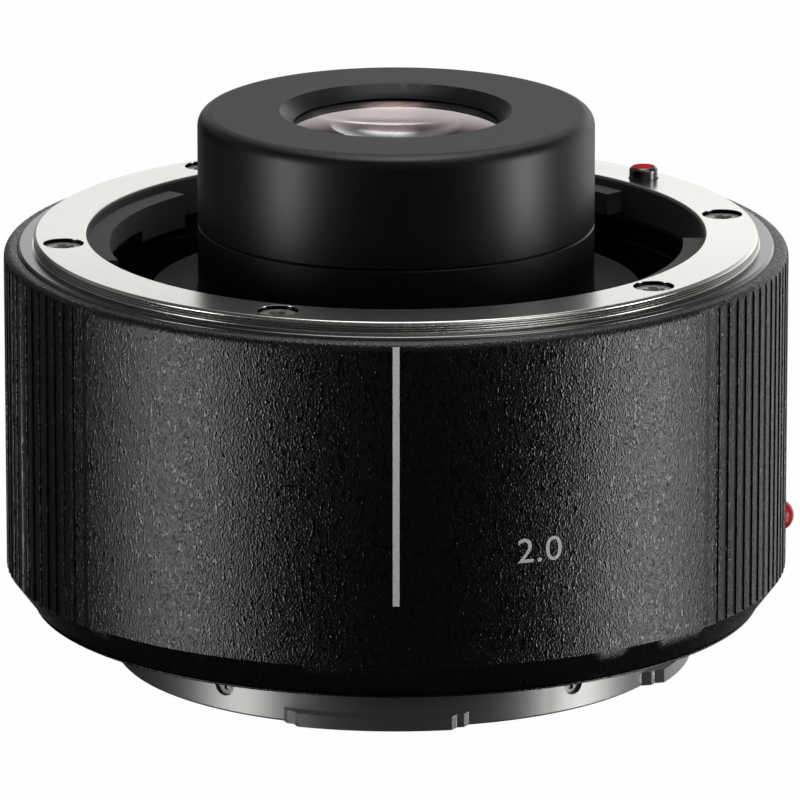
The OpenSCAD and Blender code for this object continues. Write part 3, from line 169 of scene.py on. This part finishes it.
# Turned metals: rings of the lathe stay in the plating and draw the light out across them; the rings
# are drawn coarser than life so that they show
lathe = {"detail": 2.0, "softness": 0.7, "streakTurn": 0.25}  # the streak turns by a quarter of the circle
turned = {
    "satinChrome": {
        "colour": "#e4e3df", "roughness": (0.17, 0.25), "lines": 0.17, "height": 0.003, "anisotropic": 0.3,
        # the groove, ledge, wall and throat colours are painted shade: darker in the grooves between the
        # outer ridges, on the ledge by the barrel's rim, on the steep inner walls such as the screw
        # counterbores, and in the throat, which is also blasted dull
        "ridge": 0.21, "ridgeHeight": 0.08, "steep": 0.2, "outerFrom": 33.5, "groove": "#30302f",
        "ledgeFrom": 34.2, "ledge": "#7c7c79", "throat": "#7a7a77", "throatRadius": 29.15,
        "throatRough": 0.7, "wall": "#1b1b1b",
    },
    "bayonetSteel": {
        "colour": "#b4b4b2", "roughness": (0.5, 0.6), "lines": 0.22, "height": 0.002, "anisotropic": 0.5,
    },
    "springSteel": {
        "colour": "#a8a8a4", "roughness": (0.26, 0.4), "lines": 0.3, "height": 0.001, "anisotropic": 0.2,
    },
    "stampedSteel": {
        "colour": "#b4b4b0", "roughness": (0.3, 0.42), "lines": 0.25, "height": 0.001, "anisotropic": 0.2,
    },
}


def latheLines(tree, coords, size):  # uneven rings round the axis, as a turning tool leaves them
    height = addNode(tree, "ShaderNodeSeparateXYZ", {"Vector": coords}).outputs["Z"]
    along = addNode(tree, "ShaderNodeMath", {0: axisRadius(tree, coords), 1: height}, operation="ADD")
    turns = addNode(
        tree, "ShaderNodeMath", {0: along.outputs["Value"], 1: perMetre(size)}, operation="MULTIPLY",
    )
    lines = addNode(
        tree, "ShaderNodeTexNoise",
        {"W": turns.outputs["Value"], "Detail": lathe["detail"], "Roughness": lathe["softness"]},
        noise_dimensions="1D",
    )
    return lines.outputs["Fac"]


def mountShades(tree, coords, look):  # colour with painted shade in the grooves, on the ledge, on the steep inner walls and in the throat; the ridges; and the throat's mask
    radius = axisRadius(tree, coords)
    height = addNode(tree, "ShaderNodeSeparateXYZ", {"Vector": coords}).outputs["Z"]
    facing = addNode(tree, "ShaderNodeNewGeometry").outputs["True Normal"]
    upward = addNode(tree, "ShaderNodeSeparateXYZ", {"Vector": facing}).outputs["Z"]
    steep = addNode(
        tree, "ShaderNodeMath", {0: upward, 1: 0.0, 2: look["steep"]}, operation="COMPARE",
    ).outputs["Value"]
    # the ledge beyond ledgeFrom, by the barrel's rim, gets a painted shade colour
    outside, ledge = [
        addNode(
            tree, "ShaderNodeMath", {0: radius, 1: look[edge] * mm}, operation="GREATER_THAN",
        ).outputs["Value"]
        for edge in ("outerFrom", "ledgeFrom")
    ]
    # inside this radius the throat gets a painted shade colour, and also a dull finish
    throat = addNode(
        tree, "ShaderNodeMath", {0: radius, 1: look["throatRadius"] * mm}, operation="LESS_THAN",
    ).outputs["Value"]
    outer = addNode(tree, "ShaderNodeMath", {0: steep, 1: outside}, operation="MULTIPLY").outputs["Value"]
    # steep inner walls, such as the screw counterbores, get a painted shade colour
    inner = addNode(tree, "ShaderNodeMath", {0: steep, 1: outer}, operation="SUBTRACT").outputs["Value"]
    half = look["ridge"] / 2 * mm
    saw = addNode(tree, "ShaderNodeMath", {0: height, 1: half}, operation="PINGPONG").outputs["Value"]
    slope = addNode(tree, "ShaderNodeMath", {0: saw, 1: 1 / half}, operation="MULTIPLY").outputs["Value"]
    # the grooves between the outer ridges get a painted shade colour besides their relief
    dip = addNode(tree, "ShaderNodeMath", {0: slope, 1: outer}, operation="MULTIPLY").outputs["Value"]
    shade = linear(look["colour"])
    # each zone's colour is painted shade laid over the chrome
    for share, zone in ((ledge, "ledge"), (dip, "groove"), (inner, "wall"), (throat, "throat")):
        shade = addNode(
            tree, "ShaderNodeMix", {"Factor": share, "A": shade, "B": linear(look[zone])}, data_type="RGBA",
        ).outputs["Result"]
    ridges = addNode(tree, "ShaderNodeMath", {0: 1.0, 1: dip}, operation="SUBTRACT").outputs["Value"]
    return shade, ridges, throat


def turnedMetal(name):
    look = turned[name]
    material, tree, shader, coords = newFinish(
        name,
        {
            "Base Color": linear(look["colour"]), "Metallic": 1.0, "Anisotropic": look["anisotropic"],
            "Anisotropic Rotation": lathe["streakTurn"],
        },
    )
    lines = latheLines(tree, coords, look["lines"])
    tangent = addNode(tree, "ShaderNodeTangent", direction_type="RADIAL", axis="Z").outputs["Tangent"]
    tree.links.new(tangent, shader.inputs["Tangent"])
    relief = addNode(
        tree, "ShaderNodeMath", {0: lines, 1: look["height"]}, operation="MULTIPLY",
    ).outputs["Value"]
    rough = addNode(
        tree, "ShaderNodeMapRange",
        {
            "Value": lines, "From Min": noiseSpan[0], "From Max": noiseSpan[1],
            "To Min": look["roughness"][0], "To Max": look["roughness"][1],
        },
    ).outputs["Result"]
    if "ridge" in look:
        shade, ridges, throat = mountShades(tree, coords, look)
        tree.links.new(shade, shader.inputs["Base Color"])
        relief = addNode(
            tree, "ShaderNodeMath", {0: ridges, 1: look["ridgeHeight"], 2: relief},
            operation="MULTIPLY_ADD",
        ).outputs["Value"]
        rough = addNode(  # the throat is blasted dull, so that it throws no light into the lens
            tree, "ShaderNodeMath", {0: throat, 1: look["throatRough"], 2: rough},
            operation="MULTIPLY_ADD",
        ).outputs["Value"]
    bump = addNode(tree, "ShaderNodeBump", {"Height": relief, "Distance": mm})
    tree.links.new(bump.outputs["Normal"], shader.inputs["Normal"])
    tree.links.new(rough, shader.inputs["Roughness"])
    return material


# Plated or machined pieces too small for lathe lines: a faint mottle in the polish
mottleDetail = 3.0
plated = {
    "platedScrew": {"colour": "#dadad6", "roughness": (0.3, 0.42), "mottle": 0.3},
    "dullScrew": {"colour": "#8a8a88", "roughness": (0.5, 0.6), "mottle": 0.3},
    "turnedPin": {"colour": "#707070", "roughness": (0.2, 0.3), "mottle": 0.4},
    "goldPlate": {"colour": "#d9ad45", "roughness": (0.18, 0.32), "mottle": 0.25},
}


def platedMetal(name):
    look = plated[name]
    material, tree, shader, coords = newFinish(
        name, {"Base Color": linear(look["colour"]), "Metallic": 1.0},
    )
    mottle = addNode(
        tree, "ShaderNodeTexNoise",
        {"Vector": coords, "Scale": perMetre(look["mottle"]), "Detail": mottleDetail},
    ).outputs["Fac"]
    rough = addNode(
        tree, "ShaderNodeMapRange",
        {
            "Value": mottle, "From Min": noiseSpan[0], "From Max": noiseSpan[1],
            "To Min": look["roughness"][0], "To Max": look["roughness"][1],
        },
    )
    tree.links.new(rough.outputs["Result"], shader.inputs["Roughness"])
    return material


# Dull blacks, plastics, enamels and ink: a fine blasted, moulded or brushed grain, drawn coarser than life
# so that it shows
blast = {"detail": 2.0, "softness": 0.6, "flatFrom": 0.9}
grained = {
    "blackAnodised": {
        "dark": "#080808", "pale": "#0d0d0d", "roughness": (0.36, 0.44), "specular": 0.4,
        "grain": 0.14, "height": 0.003, "flat": 0.12,
    },
    "matteFrame": {
        "dark": "#0a0a0a", "pale": "#0f0f0f", "roughness": (0.5, 0.62), "specular": 0.2,
        "grain": 0.2, "height": 0.005,
    },
    "mouldedBlack": {
        "dark": "#0d0d0e", "pale": "#141415", "roughness": (0.44, 0.6), "specular": 0.35,
        "grain": 0.25, "height": 0.006,
    },
    "boardLaminate": {
        "dark": "#123d22", "pale": "#1d5a34", "roughness": (0.3, 0.45), "specular": 0.5,
        "grain": 0.6, "height": 0.004,
    },
    "cableFilm": {
        "dark": "#94591a", "pale": "#bb7d31", "roughness": (0.28, 0.4), "specular": 0.5,
        "grain": 0.8, "height": 0.002,
    },
    "redEnamel": {
        "dark": "#b9070d", "pale": "#cd1219", "roughness": (0.22, 0.32), "specular": 0.25,
        "grain": 0.5, "height": 0.001,
    },
    "redPaint": {
        "dark": "#c40a12", "pale": "#d6141c", "roughness": (0.6, 0.7), "specular": 0.05,
        "grain": 0.3, "height": 0.001,
    },
    "whiteInk": {
        "dark": "#dcdcda", "pale": "#ececea", "roughness": (0.5, 0.65), "specular": 0.4,
        "grain": 0.2, "height": 0.002,
    },
}


def grainedFinish(name):
    look = grained[name]
    material, tree, shader, coords = newFinish(name, {"Specular IOR Level": look["specular"]})
    grain = addNode(
        tree, "ShaderNodeTexNoise",
        {
            "Vector": coords, "Scale": perMetre(look["grain"]), "Detail": blast["detail"],
            "Roughness": blast["softness"],
        },
    ).outputs["Fac"]
    bump = addNode(tree, "ShaderNodeBump", {"Height": grain, "Distance": look["height"] * mm})
    tree.links.new(bump.outputs["Normal"], shader.inputs["Normal"])
    rough = addNode(
        tree, "ShaderNodeMapRange",
        {
            "Value": grain, "From Min": noiseSpan[0], "From Max": noiseSpan[1],
            "To Min": look["roughness"][0], "To Max": look["roughness"][1],
        },
    ).outputs["Result"]
    if "flat" in look:  # faces turned flat across the axis come out duller than the sides
        facing = addNode(tree, "ShaderNodeNewGeometry").outputs["True Normal"]
        upward = addNode(tree, "ShaderNodeSeparateXYZ", {"Vector": facing}).outputs["Z"]
        flat = addNode(
            tree, "ShaderNodeMapRange",
            {"Value": upward, "From Min": blast["flatFrom"], "To Max": look["flat"]},
        ).outputs["Result"]
        rough = addNode(tree, "ShaderNodeMath", {0: rough, 1: flat}, operation="ADD").outputs["Value"]
    tree.links.new(rough, shader.inputs["Roughness"])
    shade = addNode(tree, "ShaderNodeValToRGB", {"Fac": grain})
    for end, place, tone in zip(shade.color_ramp.elements, noiseSpan, ("dark", "pale")):
        end.position = place
        end.color = linear(look[tone])
    tree.links.new(shade.outputs["Color"], shader.inputs["Base Color"])
    return material


# Optical glass: polished, and on the outer faces a thin coating that turns reflections rosy
polish = {"size": 6.0, "detail": 1.0, "haze": 0.012}
glass = {
    "coatedGlass": {"colour": "#f3e9ea", "ior": 1.75, "tint": "#ffa89e"},
    "clearGlass": {"colour": "#f4f4f2", "ior": 1.6, "tint": "#ffffff"},
}


def opticalGlass(name):
    look = glass[name]
    material, tree, shader, coords = newFinish(
        name,
        {
            "Base Color": linear(look["colour"]), "IOR": look["ior"], "Transmission Weight": 1.0,
            "Specular Tint": linear(look["tint"]),
        },
    )
    cloud = addNode(
        tree, "ShaderNodeTexNoise",
        {"Vector": coords, "Scale": perMetre(polish["size"]), "Detail": polish["detail"]},
    ).outputs["Fac"]
    rough = addNode(tree, "ShaderNodeMapRange", {"Value": cloud, "To Max": polish["haze"]})
    tree.links.new(rough.outputs["Result"], shader.inputs["Roughness"])
    return material


finishes = {
    "crackle_paint": crackleEnamel(),
    "satin_chrome": turnedMetal("satinChrome"),
    "bayonet_metal": turnedMetal("bayonetSteel"),
    "spring_steel": turnedMetal("springSteel"),
    "plain_steel": turnedMetal("stampedSteel"),
    "screw_steel": platedMetal("platedScrew"),
    "gold_plate": platedMetal("goldPlate"),
    "black_anodised": grainedFinish("blackAnodised"),
    "frame_metal": grainedFinish("matteFrame"),
    "black_plastic": grainedFinish("mouldedBlack"),
    "board_laminate": grainedFinish("boardLaminate"),
    "cable_film": grainedFinish("cableFilm"),
    "red_enamel": grainedFinish("redEnamel"),
    "coated_glass": opticalGlass("coatedGlass"),
    "clear_glass": opticalGlass("clearGlass"),
}
special = {  # pieces whose finish differs from the rest of their slot
    "lock_pin": platedMetal("turnedPin"), "lock_mark": grainedFinish("redPaint"),
    "baffle_screws": platedMetal("dullScrew"),
}
slots = {row["node"]: row["material_slot"] for row in frame["record"]["subparts"]}
for name, piece in frame["nodes"].items():
    piece.data.materials.clear()
    piece.data.materials.append(special.get(name) or finishes[slots[name]])
print("finishes: %d" % len(bpy.data.materials))

# Pieces whose round faces show: merged copies, with edges broken by so many mm, and smooth below an angle
smoothed = {
    "outer_barrel": (0.0, 18), "rear_ring": (0.03, 32), "index_bead": (0.0, 32), "front_mount": (0.05, 32),
    "rear_mount": (0.06, 32), "lens_tube": (0.02, 32), "front_cap": (0.03, 32),
    "front_convex_lens": (0.0, 32), "inner_frame": (0.05, 32), "rear_baffle": (0.05, 32),
    "lock_pin": (0.03, 32), "lock_mark": (0.02, 32), "release_button": (0.05, 32),
    "rear_meniscus_lens": (0.0, 32), "rear_retaining_ring": (0.03, 32), "front_meniscus_lens": (0.0, 32),
}
turnedPieces = ["outer_barrel", "rear_ring", "front_mount", "rear_mount", "lens_tube", "front_cap"]
smoothing = {"merge": 0.0005, "flatBelow": 0.2, "edgeAbove": 40, "edgeSteps": 2, "offRound": 0.03}


def roundNormals(mesh):  # faces left by the lathe get the exact normal of their round
    ways = [corner.vector.copy() for corner in mesh.corner_normals]
    for face in mesh.polygons:
        around = Vector((-face.center.y, face.center.x, 0)).normalized()
        if abs(face.normal.dot(around)) > smoothing["offRound"]:
            continue
        for corner in face.loop_indices:
            place = mesh.vertices[mesh.loops[corner].vertex_index].co
            side = Vector((-place.y, place.x, 0)).normalized()
            ways[corner] = (ways[corner] - side * ways[corner].dot(side)).normalized()
    mesh.normals_split_custom_set(ways)


def smoothPiece(node, edge, angle):
    source = frame["nodes"][node]
    words = node.split("_")
    piece = bpy.data.objects.new(words[0] + "".join(w.title() for w in words[1:]), source.data.copy())
    scene.collection.objects.link(piece)
    bpy.ops.object.select_all(action="DESELECT")
    piece.select_set(True)
    bpy.context.view_layer.objects.active = piece
    bpy.ops.object.mode_set(mode="EDIT")
    bpy.ops.mesh.select_all(action="SELECT")
    bpy.ops.mesh.remove_doubles(threshold=smoothing["merge"] * mm)
    bpy.ops.mesh.dissolve_limited(angle_limit=math.radians(smoothing["flatBelow"]))
    bpy.ops.object.mode_set(mode="OBJECT")
    if edge:
        broken = piece.modifiers.new("brokenEdge", "BEVEL")
        broken.width = edge * mm
        broken.segments = smoothing["edgeSteps"]
        broken.limit_method = "ANGLE"
        broken.angle_limit = math.radians(smoothing["edgeAbove"])
        bpy.ops.object.modifier_apply(modifier=broken.name)
    bpy.ops.object.shade_smooth_by_angle(angle=math.radians(angle))
    level = piece.modifiers.new("levelFaces", "WEIGHTED_NORMAL")
    level.mode = "FACE_AREA"
    level.keep_sharp = True
    bpy.ops.object.modifier_apply(modifier=level.name)
    if node in turnedPieces:
        roundNormals(piece.data)
    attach(piece, source["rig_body"])
    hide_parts(node)
    return piece


for node, (edge, angle) in smoothed.items():
    smoothPiece(node, edge, angle)
print("smoothed: %d" % len(smoothed))

coil = {"travel": 1.3, "angle": 75}


def makeCoil():  # a smoothed copy of the lock spring, with a mesh of its own
    spring = smoothPiece("lock_spring", 0.0, coil["angle"])
    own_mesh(spring)


makeCoil()
print("spring: 1")

whiteInk = grainedFinish("whiteInk")
barrelRadius = 36.9
lineMark = {
    "width": 0.62, "bottom": 10.0, "straightTop": 33.9, "top": 34.4, "rimRadius": 0.8, "steps": 5,
    "ink": 0.03, "sunk": 0.005, "reach": 0.1,
}


def makeLine():  # the white index line, which runs up the front and over the rim's rounding
    mark = lineMark
    bpy.ops.mesh.primitive_plane_add(size=1, location=(0, 0, 0), rotation=(math.pi / 2, 0, 0))
    line = bpy.context.object
    line.name = "indexLine"
    height = mark["straightTop"] - mark["bottom"]
    line.scale = (mark["width"] * mm, height * mm, 1)
    line.location = (0, -(barrelRadius - mark["sunk"]) * mm, (mark["bottom"] + height / 2) * mm)
    bpy.ops.object.transform_apply(location=True, rotation=True, scale=True)
    bpy.ops.object.mode_set(mode="EDIT")
    bpy.ops.mesh.select_mode(type="VERT")
    bpy.ops.mesh.select_all(action="DESELECT")
    bpy.ops.object.mode_set(mode="OBJECT")
    for corner in line.data.vertices:  # the upper edge
        corner.select = corner.co.z > (mark["straightTop"] - mark["reach"]) * mm
    bpy.ops.object.mode_set(mode="EDIT")
    last = math.asin((mark["top"] - mark["straightTop"]) / mark["rimRadius"])
    before = (0.0, 0.0)
    for step in range(1, mark["steps"] + 1):
        turn = last * step / mark["steps"]
        after = (
            mark["rimRadius"] * (1 - math.cos(turn)) * mm, mark["rimRadius"] * math.sin(turn) * mm,
        )
        bpy.ops.mesh.extrude_region_move(
            TRANSFORM_OT_translate={"value": (0, after[0] - before[0], after[1] - before[1])}
        )
        before = after
    bpy.ops.mesh.select_all(action="SELECT")
    bpy.ops.mesh.normals_make_consistent(inside=False)
    bpy.ops.object.mode_set(mode="OBJECT")
    if line.data.polygons[0].normal.y > 0:
        line.data.flip_normals()
    wall = line.modifiers.new("ink", "SOLIDIFY")
    wall.thickness = mark["ink"] * mm
    wall.offset = 1
    bpy.ops.object.modifier_apply(modifier=wall.name)
    line.data.materials.append(whiteInk)
    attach(line, "converter")


numberMark = {
    "words": "2.0", "size": 3.3, "spacing": 1.06, "left": 11.0, "bottom": 13.6, "standOff": 4.0,
    "curveSteps": 6, "merge": 0.001, "cuts": 2, "ink": 0.03,
}


def makeNumber():  # a plain printed number, wrapped on the barrel
    mark = numberMark
    bpy.ops.object.text_add(location=(0, 0, 0))
    number = bpy.context.object
    number.name = "printedNumber"
    number.data.body = mark["words"]
    number.data.size = mark["size"] * mm
    number.data.resolution_u = mark["curveSteps"]
    number.data.space_character = mark["spacing"]
    bpy.ops.object.convert(target="MESH")
    number.rotation_euler = (math.pi / 2, 0, 0)
    number.location = (
        mark["left"] * mm, -(barrelRadius + mark["standOff"]) * mm, mark["bottom"] * mm,
    )
    bpy.ops.object.transform_apply(location=True, rotation=True, scale=True)
    bpy.ops.object.mode_set(mode="EDIT")
    bpy.ops.mesh.select_all(action="SELECT")
    bpy.ops.mesh.remove_doubles(threshold=mark["merge"] * mm)
    bpy.ops.mesh.subdivide(number_cuts=mark["cuts"])
    bpy.ops.object.mode_set(mode="OBJECT")
    wrap = number.modifiers.new("wrap", "SHRINKWRAP")
    wrap.target = frame["nodes"]["outer_barrel"]
    wrap.wrap_method = "PROJECT"
    wrap.use_project_x = False
    wrap.use_project_y = True
    wrap.use_project_z = False
    wrap.use_positive_direction = True
    wrap.use_negative_direction = False
    wrap.offset = 0.0
    bpy.ops.object.modifier_apply(modifier=wrap.name)
    wall = number.modifiers.new("ink", "SOLIDIFY")
    wall.thickness = mark["ink"] * mm
    wall.offset = 1 if number.data.polygons[0].normal.y < 0 else -1
    bpy.ops.object.modifier_apply(modifier=wall.name)
    number.data.materials.append(whiteInk)
    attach(number, "converter")


bpy.ops.object.select_all(action="DESELECT")
makeLine()
bpy.ops.object.select_all(action="DESELECT")
makeNumber()
print("marks: line and number")

# Camera, as fitted to the photograph; near is in metres
shot = {
    "lookAt": (0, 0, 19.5), "distance": 950.97, "elevation": 15.174, "lens": 453.1, "shiftX": 0.00484,
    "sensor": 36, "near": 0.01,
}


def makeCamera():
    tilt = math.radians(shot["elevation"])
    aim = Vector(shot["lookAt"]) * mm
    place = aim + Vector((0, -math.cos(tilt), math.sin(tilt))) * shot["distance"] * mm
    bpy.ops.object.camera_add(location=place, rotation=(math.pi / 2 - tilt, 0, 0))
    camera = bpy.context.object
    camera.data.lens = shot["lens"]
    camera.data.sensor_width = shot["sensor"]
    camera.data.shift_x = shot["shiftX"]
    camera.data.clip_start = shot["near"]
    scene.camera = camera


makeCamera()

# Floor, background and soft boxes, in metres; fade, rise and fall are parts of a direction along Y or Z
studio = {
    "paper": (0.6, 0.56), "paperFront": -0.06, "paperColour": "#e8e8e6", "paperWhite": 0.985,
    "paperClear": 0.9, "ambient": 0.12, "backLevel": 0.3, "frontLevel": 0.004, "fade": (0.85, 0.98),
    "highLevel": 0.17, "rise": (0.12, 0.45), "fall": (0.5, 0.85), "overhead": 0.15,
    "aim": (0, 0, 0.02), "distance": 0.62, "edge": 0.4,
    "boxes": {
        "leftBox": {"turn": -65, "lift": -12, "size": (0.27, 0.96), "watts": 6.9},
        "rightBox": {"turn": 78, "lift": -12, "size": (0.32, 0.96), "watts": 9.9},
        "rimBox": {"turn": 138, "lift": -2, "size": (0.74, 0.9), "watts": 2.3},
        "backBox": {"turn": 172, "lift": 12, "size": (0.74, 0.32), "watts": 0.76},
        "topBox": {"turn": 170, "lift": 52, "size": (0.6, 0.5), "watts": 1.2},
        "frontBox": {"turn": 56, "lift": 58, "size": (0.36, 0.3), "watts": 0.55},
        "overBox": {"turn": 170, "lift": 80, "size": (0.5, 0.46), "watts": 3.4},
    },
}


def makeFloor():  # white to the camera, thin to reflections and clear from below
    wide, deep = studio["paper"]
    bpy.ops.mesh.primitive_plane_add(size=1, location=(0, studio["paperFront"] + deep / 2, cadBox[0].z))
    floor = bpy.context.object
    floor.name = "studioFloor"
    floor.scale = (wide, deep, 1)
    bpy.ops.object.transform_apply(location=True, rotation=True, scale=True)
    material = bpy.data.materials.new("paperFloor")
    material.use_nodes = True
    tree = material.node_tree
    tree.nodes.clear()
    path = addNode(tree, "ShaderNodeLightPath")
    paper = addNode(tree, "ShaderNodeBsdfDiffuse", {"Color": linear(studio["paperColour"])})
    white = addNode(tree, "ShaderNodeEmission", {"Color": (1, 1, 1, 1), "Strength": 1.0})
    clear = addNode(tree, "ShaderNodeBsdfTransparent").outputs["BSDF"]
    thin, share = [
        addNode(
            tree, "ShaderNodeMath", {0: path.outputs[ray], 1: studio[level]}, operation="MULTIPLY",
        ).outputs["Value"]
        for ray, level in (("Is Glossy Ray", "paperClear"), ("Is Camera Ray", "paperWhite"))
    ]
    seen = addNode(tree, "ShaderNodeMixShader", {0: thin, 1: paper.outputs["BSDF"], 2: clear})
    both = addNode(
        tree, "ShaderNodeMixShader", {0: share, 1: seen.outputs["Shader"], 2: white.outputs["Emission"]},
    )
    under = addNode(tree, "ShaderNodeNewGeometry").outputs["Backfacing"]
    sheet = addNode(tree, "ShaderNodeMixShader", {0: under, 1: both.outputs["Shader"], 2: clear})
    addNode(tree, "ShaderNodeOutputMaterial", {"Surface": sheet.outputs["Shader"]})
    floor.data.materials.append(material)


def makeWorld():  # white to the camera; to reflections pale behind and in a band above, and dark elsewhere
    world = bpy.data.worlds.new("studio")
    world.use_nodes = True
    tree = world.node_tree
    tree.nodes.clear()
    path = addNode(tree, "ShaderNodeLightPath")
    ways = addNode(tree, "ShaderNodeTexCoord").outputs["Generated"]
    parts = addNode(tree, "ShaderNodeSeparateXYZ", {"Vector": ways})
    back, high, above = [
        addNode(
            tree, "ShaderNodeMapRange",
            {
                "Value": parts.outputs[axis], "From Min": studio[span][0], "From Max": studio[span][1],
                "To Min": low, "To Max": studio[level],
            },
        ).outputs["Result"]
        for axis, span, low, level in (
            ("Y", "fade", studio["frontLevel"], "backLevel"),
            ("Z", "rise", studio["frontLevel"], "highLevel"),
            ("Z", "fall", 1.0, "overhead"),
        )
    ]
    band = addNode(tree, "ShaderNodeMath", {0: high, 1: above}, operation="MULTIPLY").outputs["Value"]
    around = addNode(tree, "ShaderNodeMath", {0: back, 1: band}, operation="MAXIMUM").outputs["Value"]
    mirror = addNode(
        tree, "ShaderNodeMath",
        {0: path.outputs["Is Glossy Ray"], 1: path.outputs["Is Transmission Ray"]}, operation="MAXIMUM",
    ).outputs["Value"]
    shown = addNode(tree, "ShaderNodeMath", {0: mirror, 1: around}, operation="MULTIPLY").outputs["Value"]
    soft = addNode(
        tree, "ShaderNodeMath", {0: path.outputs["Is Diffuse Ray"], 1: studio["ambient"], 2: shown},
        operation="MULTIPLY_ADD",
    ).outputs["Value"]
    strength = addNode(
        tree, "ShaderNodeMath", {0: soft, 1: path.outputs["Is Camera Ray"]}, operation="MAXIMUM",
    ).outputs["Value"]
    glow = addNode(tree, "ShaderNodeBackground", {"Color": (1, 1, 1, 1), "Strength": strength})
    addNode(tree, "ShaderNodeOutputWorld", {"Surface": glow.outputs["Background"]})
    scene.world = world


def makeBoxes():  # turn is from the camera's side, positive to the right
    aim = Vector(studio["aim"])
    for name, box in studio["boxes"].items():
        turn, lift = math.radians(box["turn"]), math.radians(box["lift"])
        way = Vector((math.sin(turn) * math.cos(lift), -math.cos(turn) * math.cos(lift), math.sin(lift)))
        bpy.ops.object.light_add(type="AREA", location=aim + way * studio["distance"])
        lamp = bpy.context.object
        lamp.name = name
        lamp.rotation_euler = way.to_track_quat("Z", "Y").to_euler()
        lamp.data.shape = "RECTANGLE"
        lamp.data.size, lamp.data.size_y = box["size"]
        lamp.data.energy = box["watts"]
        lamp.visible_camera = False
        lamp.data.use_nodes = True
        tree = lamp.data.node_tree
        tree.nodes.clear()
        across = addNode(tree, "ShaderNodeNewGeometry").outputs["Parametric"]
        sides = addNode(tree, "ShaderNodeSeparateXYZ", {"Vector": across})
        level = 1.0
        for side in ("X", "Y"):  # full in the middle, fading towards each edge, as a diffuser does
            other = addNode(tree, "ShaderNodeMath", {0: 1.0, 1: sides.outputs[side]}, operation="SUBTRACT")
            near = addNode(
                tree, "ShaderNodeMath", {0: sides.outputs[side], 1: other.outputs["Value"]},
                operation="MINIMUM",
            )
            fade = addNode(
                tree, "ShaderNodeMapRange", {"Value": near.outputs["Value"], "From Max": studio["edge"]},
                interpolation_type="SMOOTHSTEP",
            )
            level = addNode(
                tree, "ShaderNodeMath", {0: level, 1: fade.outputs["Result"]}, operation="MULTIPLY",
            ).outputs["Value"]
        glow = addNode(tree, "ShaderNodeEmission", {"Strength": level})
        addNode(tree, "ShaderNodeOutputLight", {"Surface": glow.outputs["Emission"]})


makeFloor()
makeWorld()
makeBoxes()
scene.view_settings.view_transform = "Standard"
print("studio: floor, world and %d boxes" % len(studio["boxes"]))
